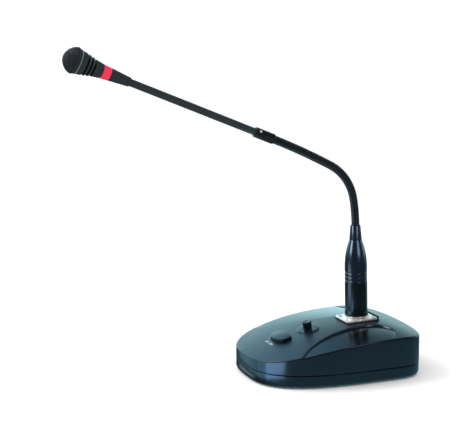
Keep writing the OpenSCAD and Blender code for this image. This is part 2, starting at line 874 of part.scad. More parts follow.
module jack_nut() {
    color(nickel) on_jack() translate([0, 0, fit]) difference() {
        cylinder(d = nut_af / cos(30), h = nut_t, $fn = 6);
        translate([0, 0, -1]) cylinder(d = bushing_d + 2 * run_gap, h = nut_t + 2);
    }
}

module plug_barrel() {
    r = barrel_d / 2;
    color(metal_black) on_socket() rotate_extrude() polygon([
        [nose_id / 2, nose_end], [nose_od / 2, nose_end], [nose_od / 2, barrel_z],
        [foot_d / 2 - chamfer, barrel_z], [foot_d / 2, barrel_z + chamfer], [foot_d / 2, foot_h],
        [r + 0.3 * (foot_d / 2 - r), foot_h + 0.5 * foot_taper], [r, foot_h + foot_taper],
        [r, barrel_h - chamfer], [r - chamfer, barrel_h],
        [spigot_d / 2 + fit, barrel_h], [spigot_d / 2 + fit, barrel_h - spigot_l - 1],
        [nose_id / 2, barrel_h - spigot_l - 1]
    ]);
}

module plug_insert() {
    color(satin_black) on_socket() difference() {
        translate([0, 0, plug_insert_bottom])
            cylinder(d = nose_id - 2 * run_gap, h = plug_insert_top - plug_insert_bottom);
        translate([0, 0, plug_insert_bottom - 1]) pin_spots() cylinder(d = pin_d + 2 * run_gap, h = base_h);
    }
}

module plug_pins() {
    color(nickel) on_socket() translate([0, 0, pin_end]) pin_spots()
        cylinder(d = pin_d, h = plug_insert_top + pin_tail - pin_end);
}

// The sleeve's grip has turned grooves, and its shoulder is an arc that starts straight.
module plug_sleeve() {
    r = barrel_d / 2 - 0.1;
    drop = r - sleeve_end_d / 2;
    taper_l = sleeve_l - grip_l;
    arc_r = (taper_l * taper_l + drop * drop) / (2 * drop);
    groove_points = [for (i = [0:grooves - 1]) let (z = groove_first + i * groove_step)
        each [[r, z - groove_depth], [r - groove_depth, z], [r, z + groove_depth]]];
    taper_points = [for (i = [0:ogive_steps]) let (z = taper_l * i / ogive_steps)
        [r - arc_r + sqrt(arc_r * arc_r - z * z), grip_l + z]];
    color(metal_black) on_socket() translate([0, 0, sleeve_z]) rotate_extrude() polygon(concat(
        [[spigot_d / 2 - spigot_wall, -spigot_l], [spigot_d / 2, -spigot_l], [spigot_d / 2, 0],
         [r - chamfer, 0], [r, chamfer]],
        groove_points, taper_points,
        [[sleeve_bore / 2, sleeve_l], [sleeve_bore / 2, grip_l + spigot_l],
         [spigot_d / 2 - spigot_wall, grip_l]]
    ));
}

module neck_collar() {
    r_seat = flex_d / 2 + fit;
    r_end = collar_end_d / 2;
    stop = collar_l - seat_depth - fit;
    color(metal_black) on_socket() translate([0, 0, collar_z]) rotate_extrude() polygon([
        [flex_bore / 2, -collar_spigot], [sleeve_bore / 2 - fit, -collar_spigot],
        [sleeve_bore / 2 - fit, 0], [sleeve_end_d / 2 - chamfer, 0], [sleeve_end_d / 2, chamfer],
        [r_end, collar_l - chamfer], [r_end - chamfer, collar_l],
        [r_seat, collar_l], [r_seat, stop], [flex_bore / 2, stop]
    ]);
}

// One link of the gooseneck: a bored tube whose rings swell to ribs, closed at both ends.
module neck_link(i) {
    s0 = link_start(i);
    s1 = link_end(i);
    ribs = round((s1 - s0) / rib_pitch);
    rings = 2 * ribs;
    n = neck_sides;
    outer = [for (j = [0:rings]) let (end = j == 0 || j == rings)
        each neck_ring(s0 + (s1 - s0) * j / rings,
                       end ? link_end_d / 2 : j % 2 == 1 ? flex_d / 2 : flex_d / 2 - rib_depth)];
    bore = [for (j = [0:ribs]) each neck_ring(s0 + (s1 - s0) * j / ribs, flex_bore / 2)];
    first = len(outer);
    function quad(a, b, c, d) = [[a, b, c], [a, c, d]];
    skin = [for (j = [0:rings - 1], k = [0:n - 1]) let (k2 = (k + 1) % n)
        each quad(j * n + k, j * n + n + k, j * n + n + k2, j * n + k2)];
    lining = [for (j = [0:ribs - 1], k = [0:n - 1]) let (k2 = (k + 1) % n, b = first + j * n)
        each quad(b + k, b + k2, b + n + k2, b + n + k)];
    low_end = [for (k = [0:n - 1]) let (k2 = (k + 1) % n)
        each quad(k, k2, first + k2, first + k)];
    high_end = [for (k = [0:n - 1]) let (k2 = (k + 1) % n, a = rings * n, b = first + ribs * n)
        each quad(a + k, b + k, b + k2, a + k2)];
    color(satin_black)
        polyhedron(points = concat(outer, bore), faces = concat(skin, lining, low_end, high_end));
}

module neck_link_1() { neck_link(0); }
module neck_link_2() { neck_link(1); }
module neck_link_3() { neck_link(2); }
module neck_link_4() { neck_link(3); }
module neck_link_5() { neck_link(4); }
module neck_link_6() { neck_link(5); }
module neck_link_7() { neck_link(6); }

module ferrule_screw_place() {
    translate([0, 0, ferrule_l - 4]) rotate([0, 0, screw_spot_angle]) rotate([0, 90, 0]) children();
}

module neck_ferrule() {
    r = ferrule_d / 2;
    r_flex = flex_d / 2 + fit;
    r_stem = stem_d / 2 + fit;
    stop = seat_depth + fit;
    color(metal_black) on_stem() difference() {
        rotate_extrude() polygon([
            [r_flex, 0], [r - 0.4, 0], [r, 0.8], [r, ferrule_l - 0.5], [r - 0.5, ferrule_l],
            [r_stem, ferrule_l], [r_stem, stop + ferrule_web], [flex_bore / 2, stop + ferrule_web],
            [flex_bore / 2, stop], [r_flex, stop]
        ]);
        ferrule_screw_place() cylinder(d = ferrule_screw_d + 2 * fit, h = ferrule_d);
    }
}

module ferrule_screw() {
    screw_l = (ferrule_d - stem_d) / 2 - 3 * fit;
    slot_w = 0.5;
    color(steel) on_stem() ferrule_screw_place() translate([0, 0, stem_d / 2 + 2 * fit]) difference() {
        cylinder(d = ferrule_screw_d, h = screw_l);
        translate([-slot_w / 2, -ferrule_screw_d, 0.4 * screw_l])
            cube([slot_w, 2 * ferrule_screw_d, screw_l]);
    }
}

module stem_tube() {
    z0 = seat_depth + 2 * fit + ferrule_web;
    color(metal_black) on_stem() translate([0, 0, z0])
        tube(stem_d / 2, stem_d / 2 - stem_wall, stem_end + seat_depth - z0);
}

module head_shell() {
    r_stem = stem_d / 2 + fit;
    r_ring = ring_rear_spigot / 2 + fit;
    ring_seat = shell_l - ring_spigot_l - fit;
    color(satin_black) on_head() rotate_extrude() polygon([
        [r_stem, 0], [head_rear_d / 2 - 0.4, 0], [head_rear_d / 2, 0.6], [ring_rear_d / 2 - 0.1, shell_l],
        [r_ring, shell_l], [r_ring, ring_seat], [stem_d / 2 - stem_wall, ring_seat],
        [stem_d / 2 - stem_wall, seat_depth + fit], [r_stem, seat_depth + fit]
    ]);
}

// The red light guide joins the rear cone to the ridged collar.
module light_ring() {
    color("#e0203c") on_head() translate([0, 0, ring_z]) rotate_extrude() polygon([
        [ring_rear_spigot / 2 - ring_wall, -ring_spigot_l], [ring_rear_spigot / 2, -ring_spigot_l],
        [ring_rear_spigot / 2, 0], [ring_rear_d / 2, 0], [ring_front_d / 2, ring_w],
        [ring_front_spigot / 2, ring_w], [ring_front_spigot / 2, ring_w + ring_spigot_l],
        [ring_bore / 2, ring_w + ring_spigot_l], [ring_bore / 2, ring_step],
        [ring_rear_spigot / 2 - ring_wall, ring_step]
    ]);
}

module lamp_board() {
    color(board_green) on_head() translate([0, 0, ring_z + ring_step + run_gap])
        tube(ring_bore / 2 - fit, lamp_lead_d / 2, lamp_board_t);
}

module ring_lamps() {
    color("#f4e9d8") on_head() translate([0, 0, ring_z + ring_step + run_gap + lamp_board_t])
        for (i = [0:lamp_count - 1]) rotate([0, 0, 360 * i / lamp_count])
            translate([ring_bore / 2 - lamp_l - 4 * fit, -lamp_w / 2, 0]) cube([lamp_l, lamp_w, lamp_h]);
}

// The collar flares to the grille: a plain cone, turned grooves that leave ridges, and a plain band.
module head_collar() {
    r_ring = ring_front_spigot / 2 + fit;
    r_rim = grille_rear_d / 2 - grille_wall - fit;
    ring_seat = ring_spigot_l + 2 * fit;
    seat = ridged_l - collar_seat_l;
    band_z = ridged_l - band_l;
    flare_points = [
        [0, ring_front_d / 2], [cone_l, cone_d / 2],
        [band_z, band_d / 2], [ridged_l, grille_rear_d / 2]
    ];
    function flare(z) = lookup(z, flare_points);
    groove_points = [for (i = [0:ridge_grooves - 1])
        let (z1 = band_z - (ridge_grooves - 1 - i) * ridge_step, z0 = z1 - ridge_groove_w, e = chamfer)
            each [[flare(z0 - e), z0 - e], [flare(z0) - ridge_depth, z0 + e],
                  [flare(z1) - ridge_depth, z1 - e], [flare(z1 + e), z1 + e]]];
    color(satin_black) on_head() translate([0, 0, ridged_z]) rotate_extrude() polygon(concat(
        [[r_ring, 0], [flare(0), 0], [flare(cone_l), cone_l]],
        groove_points,
        [[flare(ridged_l), ridged_l], [r_rim, ridged_l], [r_rim, ridged_l + rim_spigot],
         [collar_seat / 2, ridged_l + rim_spigot], [collar_seat / 2, seat],
         [collar_cavity / 2, seat], [collar_cavity / 2, ring_seat + 2], [ring_bore / 2, ring_seat + 1],
         [ring_bore / 2, ring_seat], [r_ring, ring_seat]]
    ));
}

module capsule_holder() {
    color("#2a2a2a") on_head() translate([0, 0, holder_z]) difference() {
        cylinder(d = holder_d, h = collar_seat_l + holder_front);
        translate([0, 0, holder_floor])
            cylinder(d = capsule_d + 2 * run_gap, h = collar_seat_l + holder_front);
        translate([0, 0, -holder_floor]) cylinder(d = capsule_d - 2 * holder_floor, h = collar_seat_l);
    }
}

module capsule() {
    face_depth = 0.6;
    color(steel) on_head() translate([0, 0, capsule_z]) difference() {
        cylinder(d = capsule_d, h = capsule_l);
        translate([0, 0, capsule_l - face_depth]) cylinder(d = 0.75 * capsule_d, h = 2 * face_depth);
    }
}

// The dome's form: a flared side, a slanted shoulder and a round nose, drawn in by inset.
module dome_form(inset) {
    r_nose = (nose_d * nose_d / 4 + nose_l * nose_l) / (2 * nose_l);
    translate([0, 0, -eps])
        cylinder(d1 = grille_rear_d - 2 * inset, d2 = grille_d - 2 * inset, h = flare_l + eps);
    translate([0, 0, flare_l - eps])
        cylinder(d1 = grille_d - 2 * inset, d2 = nose_d - 2.4 * inset, h = shoulder_l - 0.5 * inset + eps);
    intersection() {
        translate([0, 0, flare_l + shoulder_l + nose_l - r_nose]) sphere(r = r_nose - inset, $fn = 96);
        translate([0, 0, flare_l + shoulder_l - 0.5 * inset - eps]) cylinder(d = grille_d, h = 2 * nose_l);
    }
}

module wind_foam() {
    bed = rim_spigot + 2 * fit;
    color("#202325") on_head() translate([0, 0, grille_z]) difference() {
        intersection() {
            dome_form(grille_wall + foam_gap);
            translate([0, 0, bed]) cylinder(d = grille_d, h = grille_d);
        }
        cylinder(d = holder_d + 4 * fit, h = capsule_z + capsule_l + clear - grille_z);
    }
}

// The grille is drilled along its axis in a hexagonal pattern.
module grille_cap() {
    reach = nose_d / 2 + 0.5;
    rows = ceil(reach / hole_pitch) + 1;
    color("#1a1f22") on_head() translate([0, 0, grille_z]) difference() {
        union() {
            dome_form(0);
            cylinder(r = grille_rear_d / 2 + rim_bead, h = rim_bead_l);
        }
        translate([0, 0, -2 * eps]) dome_form(grille_wall);
        for (j = [-rows:rows], i = [-rows:rows]) {
            x = hole_pitch * (i + j / 2);
            y = hole_pitch * j * sqrt(3) / 2;
            if (norm([x, y]) < reach) translate([x, y, flare_l]) cylinder(d = hole_d, h = grille_d);
        }
    }
}

base_cover();
bottom_tray();
ballast_plate();
foot_pad();
case_screws();
main_board();
main_board_parts();
main_board_screws();
control_board();
control_board_screws();
switch_body();
switch_plunger();
talk_button();
pot_body();
pot_shaft();
volume_knob();
socket_housing();
socket_insert();
socket_contacts();
flange_screws();
latch_tab();
output_jack();
jack_nut();
plug_barrel();
plug_insert();
plug_pins();
plug_sleeve();
neck_collar();
neck_link_1();
neck_link_2();
neck_link_3();
neck_link_4();
neck_link_5();
neck_link_6();
neck_link_7();
neck_ferrule();
ferrule_screw();
stem_tube();
head_shell();
light_ring();
lamp_board();
ring_lamps();
head_collar();
capsule_holder();
capsule();
wind_foam();
grille_cap();
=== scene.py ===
"""The looks of a desk paging microphone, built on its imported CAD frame.

Every form is computed in millimetres as a numpy surface grid and becomes a mesh in metres.
"""
import json
import logging
import math
from collections.abc import Mapping, Sequence
from dataclasses import dataclass
from enum import Enum
from typing import ClassVar

import bpy
import numpy as np
from mathutils import Matrix, Vector


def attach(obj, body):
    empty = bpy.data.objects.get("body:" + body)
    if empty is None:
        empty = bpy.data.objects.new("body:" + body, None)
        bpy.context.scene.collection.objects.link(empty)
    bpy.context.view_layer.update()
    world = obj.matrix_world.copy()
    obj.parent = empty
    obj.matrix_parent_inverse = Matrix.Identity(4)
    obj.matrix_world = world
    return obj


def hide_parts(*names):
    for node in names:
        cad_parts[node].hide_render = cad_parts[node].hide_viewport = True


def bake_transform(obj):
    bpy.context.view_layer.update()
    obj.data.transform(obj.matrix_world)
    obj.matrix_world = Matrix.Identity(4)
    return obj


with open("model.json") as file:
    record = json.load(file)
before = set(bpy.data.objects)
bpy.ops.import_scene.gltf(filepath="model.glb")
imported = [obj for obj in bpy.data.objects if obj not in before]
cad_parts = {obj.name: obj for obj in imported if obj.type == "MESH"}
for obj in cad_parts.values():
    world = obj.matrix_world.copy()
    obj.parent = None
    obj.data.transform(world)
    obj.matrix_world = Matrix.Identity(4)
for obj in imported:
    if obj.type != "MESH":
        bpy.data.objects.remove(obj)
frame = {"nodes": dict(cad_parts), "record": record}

LOG = logging.getLogger("paging_microphone")
MM = 0.001
TINY = 1e-6
Array = np.ndarray
Colour = tuple[float, float, float]
Corner = tuple[float, ...]


def srgb(red: float, green: float, blue: float) -> Colour:
    """Turns a display colour into scene-linear light by the sRGB curve.

    Args:
        red, green, blue: display values from 0 to 255.

    Returns:
        The linear colour.
    """
    values = np.array([red, green, blue]) / 255
    linear = np.where(values <= 0.04045, values / 12.92, ((values + 0.055) / 1.055) ** 2.4)
    return tuple(float(v) for v in linear)


def smoothstep(t: Array) -> Array:
    """Eases t from 0 to 1: 3 t^2 - 2 t^3, held outside that span."""
    t = np.clip(t, 0.0, 1.0)
    return t * t * (3.0 - 2.0 * t)


def angles(count: int) -> Array:
    """Even angles round a full turn, in radians."""
    return np.linspace(0, 2 * np.pi, count, endpoint=False)


def xyz(x: Array, y: Array, z: Array) -> Array:
    """Points (..., 3) out of coordinates that broadcast together."""
    return np.stack(np.broadcast_arrays(x, y, z), axis=-1)


def about_z(radius: Array, turn: Array, height: Array) -> Array:
    """Points about Z: (r cos t, r sin t, h)."""
    return xyz(radius * np.cos(turn), radius * np.sin(turn), height)


def raised(flat: Array, height: Array) -> Array:
    """Points (..., 3) out of flat points (..., 2) and their heights."""
    return xyz(flat[..., 0], flat[..., 1], height)


def squared(wave: Array, power: Array | float) -> Array:
    """A sine or cosine drawn towards a square wave: sign(w) |w|^(2 / n)."""
    return np.sign(wave) * np.abs(wave) ** (2 / power)


def rounded(corners: Sequence[Corner], steps: int = 6) -> Array:
    """A polyline with its corners eased.

    Each corner (a, b, reach) with a reach over 0 becomes a parabola that leaves the two sides that
    far away: q(t) = (1 - t)^2 p0 + 2 t (1 - t) p1 + t^2 p2.

    Args:
        corners: (a, b) or (a, b, reach) rows.
        steps: points per eased corner.

    Returns:
        The (n, 2) points.
    """
    spots = np.array([corner[:2] for corner in corners], dtype=float)
    t = np.linspace(0, 1, steps)[:, None]
    parts = []
    for i, corner in enumerate(corners):
        reach = corner[2] if len(corner) > 2 and 0 < i < len(corners) - 1 else 0.0
        if reach <= 0:
            parts.append(spots[i:i + 1])
            continue
        back, ahead = spots[i - 1] - spots[i], spots[i + 1] - spots[i]
        start = spots[i] + back * min(reach / np.linalg.norm(back), 0.5)
        end = spots[i] + ahead * min(reach / np.linalg.norm(ahead), 0.5)
        parts.append((1 - t) ** 2 * start + 2 * t * (1 - t) * spots[i] + t ** 2 * end)
    return np.concatenate(parts)


def resample(loop: Array, count: int) -> Array:
    """Spreads points evenly along a closed polyline.

    Args:
        loop: the polyline's points (n, 2).
        count: how many points to spread.

    Returns:
        The points (count, 2), from the loop's first one on.
    """
    closed = np.concatenate([loop, loop[:1]])
    sides = np.linalg.norm(np.diff(closed, axis=0), axis=1)
    length = np.concatenate([[0.0], np.cumsum(sides)])
    spots = np.linspace(0, length[-1], count, endpoint=False)
    return np.stack([np.interp(spots, length, closed[:, k]) for k in (0, 1)], axis=-1)


def power_oval(
    half: float, front: float, back: float, n_front: float, n_back: float, count: int = 8192
) -> Array:
    """A closed oval |x / a|^n + |y / b|^n = 1 whose front and back halves differ.

    Args:
        half: a, half its width.
        front, back: b of each half.
        n_front, n_back: n of each half.
        count: its points.

    Returns:
        The points (count, 2), from the left, front first.
    """
    t = np.linspace(-np.pi, np.pi, count, endpoint=False)
    c, s = np.cos(t), np.sin(t)
    n = np.where(s < 0, n_front, n_back)
    b = np.where(s < 0, front, back)
    return np.stack([half * squared(c, n), b * squared(s, n)], axis=-1)


@dataclass(frozen=True)
class Placement:
    """A frame turned about X.

    Args:
        y, z: its origin in the plane X = 0, in millimetres.
        tilt: its turn about X, in degrees.
    """

    y: float
    z: float
    tilt: float

    def put(self, points: Array) -> Array:
        """Takes points to the object's frame: a turn by the tilt, then a shift.

        Args:
            points: local points (..., 3).

        Returns:
            The same points, seen from the object.
        """
        c, s = math.cos(math.radians(self.tilt)), math.sin(math.radians(self.tilt))
        x, y, z = points[..., 0], points[..., 1], points[..., 2]
        return xyz(x, self.y + y * c - z * s, self.z + y * s + z * c)

    def moved(self, y: float = 0.0, z: float = 0.0) -> "Placement":
        """The same frame, moved along its own Y and Z."""
        spot = self.put(np.array([0.0, y, z]))
        return Placement(float(spot[1]), float(spot[2]), self.tilt)


class Form:
    """Makes mesh objects out of surface grids."""

    CREASE: ClassVar[float] = math.radians(35)

    @staticmethod
    def quads(rows: int, columns: int, wrap: bool) -> Array:
        """Numbers the corners of a grid's quads.

        Args:
            rows, columns: the grid's size.
            wrap: whether the last column joins the first.

        Returns:
            Corner numbers (n, 4), row by row.
        """
        r = np.arange(rows - 1)[:, None] * columns
        c = np.arange(columns if wrap else columns - 1)[None, :]
        d = (c + 1) % columns
        return np.stack([r + c, r + d, r + columns + d, r + columns + c], axis=-1).reshape(-1, 4)

    @classmethod
    def mesh(cls, name: str, points: Array, faces: Array) -> bpy.types.Object:
        """Makes an object at the origin, with sharp edges above the crease angle.

        Args:
            name: the piece's name.
            points: (n, 3), in millimetres.
            faces: (m, 4) corner numbers.

        Returns:
            The new object, linked to the scene.
        """
        mesh = bpy.data.meshes.new(name)
        mesh.vertices.add(len(points))
        mesh.vertices.foreach_set("co", (points * MM).astype(np.float32).ravel())
        mesh.loops.add(faces.size)
        mesh.loops.foreach_set("vertex_index", faces.astype(np.int32).ravel())
        mesh.polygons.add(len(faces))
        starts = np.arange(0, faces.size, faces.shape[1], dtype=np.int32)
        mesh.polygons.foreach_set("loop_start", starts)
        mesh.polygons.foreach_set("use_smooth", np.ones(len(faces), dtype=bool))
        mesh.update(calc_edges=True)
        mesh.validate()
        mesh.set_sharp_from_angle(angle=cls.CREASE)
        return cls.linked(name, mesh)

    @staticmethod
    def linked(name: str, data: bpy.types.ID) -> bpy.types.Object:
        """Makes an object of a mesh or a curve and links it to the scene.

        Args:
            name: the object's name.
            data: its mesh or curve.

        Returns:
            The new object.
        """
        made = bpy.data.objects.new(name, data)
        bpy.context.collection.objects.link(made)
        return made

    @staticmethod
    def mark(piece: bpy.types.Object, name: str, values: Array) -> None:
        """Stores one number per point, which a finish can read."""
        layer = piece.data.attributes.new(name, "FLOAT", "POINT")
        layer.data.foreach_set("value", values.astype(np.float32).ravel())

    @classmethod
    def grid(cls, name: str, points: Array, wrap: bool = True) -> bpy.types.Object:
        """A surface over points (rows, columns, 3), closed across its columns if wrap."""
        rows, columns, _ = points.shape
        return cls.mesh(name, points.reshape(-1, 3), cls.quads(rows, columns, wrap))

    @classmethod
    def revolve(
        cls, name: str, profile: Array, place: Placement, sides: int = 96
    ) -> bpy.types.Object:
        """Turns a profile of (radius, height) rows about the frame's Z."""
        points = about_z(profile[:, :1], angles(sides), profile[:, 1:])
        return cls.grid(name, place.put(points))

    @classmethod
    def tubes(cls, name: str, paths: Array, radius: float, sides: int = 6) -> bpy.types.Object:
        """Sweeps a circle along many paths at once.

        p(k, t) = path(k) + radius (n cos t + b sin t), where b and n are square to the path.

        Args:
            name: the piece's name.
            paths: (count, steps, 3), in millimetres.
            radius: the wire's radius.
            sides: the circle's corners.

        Returns:
            One object that holds every tube.
        """
        along = np.gradient(paths, axis=1)
        along /= np.linalg.norm(along, axis=-1, keepdims=True)
        away = np.where(np.abs(along[..., :1]) < 0.8, [1.0, 0.0, 0.0], [0.0, 1.0, 0.0])
        side = np.cross(along, away)
        side /= np.linalg.norm(side, axis=-1, keepdims=True)
        other = np.cross(along, side)
        turn = angles(sides)[:, None]
        ring = paths[:, :, None] + radius * (
            side[:, :, None] * np.cos(turn) + other[:, :, None] * np.sin(turn)
        )
        count, steps = paths.shape[:2]
        first = cls.quads(steps, sides, True)
        faces = first[None] + (np.arange(count) * steps * sides)[:, None, None]
        return cls.mesh(name, ring.reshape(-1, 3), faces.reshape(-1, 4))


class Value:
    """One value in a shader, with arithmetic that makes Math nodes."""

    def __init__(self, graph: "Graph", out: bpy.types.NodeSocket) -> None:
        """Wraps an output socket of the graph."""
        self.graph = graph
        self.out = out

    def __add__(self, other: "Value | float") -> "Value":
        """self + other, which is also other + self."""
        return self.graph.math("ADD", self, other)

    def __sub__(self, other: "Value | float") -> "Value":
        """self - other."""
        return self.graph.math("SUBTRACT", self, other)

    def __rsub__(self, other: float) -> "Value":
        """other - self."""
        return self.graph.math("SUBTRACT", other, self)

    def __mul__(self, other: "Value | float") -> "Value":
        """self * other, which is also other * self."""
        return self.graph.math("MULTIPLY", self, other)

    def __truediv__(self, other: "Value | float") -> "Value":
        """self / other."""
        return self.graph.math("DIVIDE", self, other)

    def __rtruediv__(self, other: float) -> "Value":
        """other / self."""
        return self.graph.math("DIVIDE", other, self)

    def __pow__(self, other: "Value | float") -> "Value":
        """self ** other."""
        return self.graph.math("POWER", self, other)

    def __rpow__(self, other: float) -> "Value":
        """other ** self."""
        return self.graph.math("POWER", other, self)

    __radd__ = __add__
    __rmul__ = __mul__

    def ramp(self, low: float, high: float) -> "Value":
        """Eases this value by smoothstep.

        Args:
            low, high: where the result is 0 and 1.

        Returns:
            The eased value.
        """
        node = self.graph.make(
            "ShaderNodeMapRange", {"Value": self, "From Min": low, "From Max": high},
            interpolation_type="SMOOTHSTEP",
        )
        return self.graph.value(node)


class Graph:
    """The node tree of one material or world."""

    def __init__(self, tree: bpy.types.NodeTree) -> None:
        """Empties the tree."""
        self.tree = tree
        tree.nodes.clear()

    @classmethod
    def of_material(cls, name: str) -> tuple[bpy.types.Material, "Graph"]:
        """Makes a material.

        Args:
            name: the material's name.

        Returns:
            The material and its empty graph.
        """
        material = bpy.data.materials.new(name)
        material.use_nodes = True
        return material, cls(material.node_tree)

    def make(
        self, kind: str, inputs: Mapping[str | int, object] | None = None, **settings: object
    ) -> bpy.types.Node:
        """Makes any node.

        Args:
            kind: the node's type.
            inputs: values, colours or other nodes' outputs, by input name or number.
            settings: the node's own properties.

        Returns:
            The new node.
        """
        node = self.tree.nodes.new(kind)
        for key, setting in settings.items():
            setattr(node, key, setting)
        for key, given in (inputs or {}).items():
            socket = node.inputs[key]
            if isinstance(given, Value):
                self.tree.links.new(given.out, socket)
            elif isinstance(given, bpy.types.NodeSocket):
                self.tree.links.new(given, socket)
            elif isinstance(given, tuple) and len(given) == 3 and socket.type == "RGBA":
                socket.default_value = (*given, 1.0)
            else:
                socket.default_value = given
        return node

    def value(self, node: bpy.types.Node, output: str | int = 0) -> Value:
        """Wraps a node's output."""
        return Value(self, node.outputs[output])

    def math(self, operation: str, first: Value | float, second: Value | float) -> Value:
        """A Math node."""
        return self.value(self.make("ShaderNodeMath", {0: first, 1: second}, operation=operation))

    def mix(self, factor: Value | float, low: object, high: object) -> Value:
        """A colour mixed from low to high."""
        node = self.make("ShaderNodeMix", {0: factor, 6: low, 7: high}, data_type="RGBA")
        return self.value(node, 2)

    def shaders(self, factor: object, low: bpy.types.Node, high: bpy.types.Node) -> bpy.types.Node:
        """A Mix Shader node between two shaders."""
        ends = {1: low.outputs[0], 2: high.outputs[0]}
        return self.make("ShaderNodeMixShader", {0: factor, **ends})

    def place(self) -> Value:
        """Object coordinates, in metres."""
        return self.value(self.make("ShaderNodeTexCoord"), "Object")

    def split(self, vector: Value) -> tuple[Value, Value, Value]:
        """A vector's three numbers."""
        node = self.make("ShaderNodeSeparateXYZ", {0: vector})
        return tuple(self.value(node, axis) for axis in "XYZ")

    def stretched(self, scale: tuple[float, float, float]) -> Value:
        """Object coordinates times a scale per axis."""
        inputs = {0: self.place(), 1: scale}
        return self.value(self.make("ShaderNodeVectorMath", inputs, operation="MULTIPLY"))

    def attribute(self, name: str) -> Value:
        """The number that a piece's points carry under a name."""
        return self.value(self.make("ShaderNodeAttribute", attribute_name=name), "Fac")

    def noise(self, per_mm: float, detail: float, vector: Value | None = None) -> Value:
        """Makes a noise.

        Args:
            per_mm: its cells per millimetre.
            detail: its finer layers.
            vector: where it is read, or None for Object coordinates.

        Returns:
            A value from 0 to 1.
        """
        inputs = {"Vector": vector or self.place(), "Scale": per_mm / MM, "Detail": detail}
        return self.value(self.make("ShaderNodeTexNoise", inputs))

    def cells(self, per_mm: float, feature: str = "F1") -> Value:
        """The distance in a cell pattern."""
        inputs = {"Vector": self.place(), "Scale": per_mm / MM}
        return self.value(self.make("ShaderNodeTexVoronoi", inputs, feature=feature), "Distance")

    def bump(self, height: Value, depth_mm: float, strength: float = 1.0) -> bpy.types.NodeSocket:
        """A bumped normal from a height of 0 to 1."""
        inputs = {"Height": height, "Strength": strength, "Distance": depth_mm * MM}
        return self.make("ShaderNodeBump", inputs).outputs["Normal"]


@dataclass(frozen=True)
class Finish:
    """A smooth finish with a faint uneven gloss.

    Args:
        name: the material's name.
        colour: its linear base colour.
        roughness: its mean roughness.
        metallic: 1 for bare metal.
        specular: the level of its reflection, 0.5 for plain plastic.
        tint: the colour of its worn or paler places, or None.
        grain: cells per millimetre of its fine texture.
        depth: depth of that texture, in millimetres.
    """

    CLOUDS: ClassVar[float] = 0.06
    CLOUD_EDGE: ClassVar[tuple[float, float]] = (0.35, 0.75)
    CLOUD_GLOSS: ClassVar[float] = 0.08
    GRAIN_GLOSS: ClassVar[float] = 0.06
    GRAIN_BUMP: ClassVar[float] = 0.6

    name: str
    colour: Colour
    roughness: float = 0.4
    metallic: float = 0.0
    specular: float = 0.5
    tint: Colour | None = None
    grain: float = 4.0
    depth: float = 0.004

    @property
    def second(self) -> Colour:
        """The tint, or the colour itself where there is none."""
        return self.tint or self.colour

    def surface(self, graph: Graph) -> dict[str, object]:
        """Makes the inputs of the Principled node.

        Args:
            graph: the material's nodes.

        Returns:
            Values and links by input name.
        """
        cloud = graph.noise(self.CLOUDS, 3.0)
        fine = graph.noise(self.grain, 2.0)
        base = self.roughness - (self.CLOUD_GLOSS + self.GRAIN_GLOSS) / 2
        return {
            "Base Color": graph.mix(cloud.ramp(*self.CLOUD_EDGE), self.colour, self.second),
            "Roughness": cloud * self.CLOUD_GLOSS + fine * self.GRAIN_GLOSS + base,
            "Metallic": self.metallic,
            "Specular IOR Level": self.specular,
            "Normal": graph.bump(fine, self.depth, self.GRAIN_BUMP),
        }

    def material(self) -> bpy.types.Material:
        """Makes the material, once.

        Returns:
            The new or the earlier material.
        """
        title = f"finish_{self.name}"
        made = bpy.data.materials.get(title)
        if made is None:
            made, graph = Graph.of_material(title)
            shader = graph.make("ShaderNodeBsdfPrincipled", self.surface(graph))
            graph.make("ShaderNodeOutputMaterial", {"Surface": shader.outputs[0]})
            made.diffuse_color = (*self.colour, 1.0)
        return made

    def on(self, piece: bpy.types.Object) -> None:
        """Gives a piece this finish alone."""
        piece.data.materials.clear()
        piece.data.materials.append(self.material())


@dataclass(frozen=True)
class TurnedMetal(Finish):
    """Metal with fine lines across one axis, as a lathe or a brush leaves them.

    Args:
        lines: stretch of the noise per axis, large across the lines.
        uneven: how far the lines change the roughness.
    """

    STREAKS: ClassVar[float] = 0.5
    STREAK_BUMP: ClassVar[float] = 0.5

    lines: tuple[float, float, float] = (1.0, 1.0, 14.0)
    uneven: float = 0.16

    def surface(self, graph: Graph) -> dict[str, object]:
        """The smooth finish's inputs, with streaks in the gloss and the normal.

        Args:
            graph: the material's nodes.

        Returns:
            Values and links by input name.
        """
        inputs = super().surface(graph)
        streak = graph.noise(self.STREAKS, 4.0, graph.stretched(self.lines))
        inputs["Roughness"] = streak * self.uneven + (self.roughness - self.uneven / 2)
        inputs["Normal"] = graph.bump(streak, self.depth, self.STREAK_BUMP)
        return inputs


@dataclass(frozen=True)
class Foam(Finish):
    """Open-cell foam: dark pores in a soft ground."""

    PORE_EDGE: ClassVar[tuple[float, float]] = (0.1, 0.55)

    def surface(self, graph: Graph) -> dict[str, object]:
        """The smooth finish's inputs, with pores in the colour and the normal.

        Args:
            graph: the material's nodes.

        Returns:
            Values and links by input name.
        """
        inputs = super().surface(graph)
        pores = graph.cells(self.grain)
        inputs["Base Color"] = graph.mix(pores.ramp(*self.PORE_EDGE), self.colour, self.second)
        inputs["Roughness"] = self.roughness
        inputs["Normal"] = graph.bump(pores, self.depth)
        return inputs


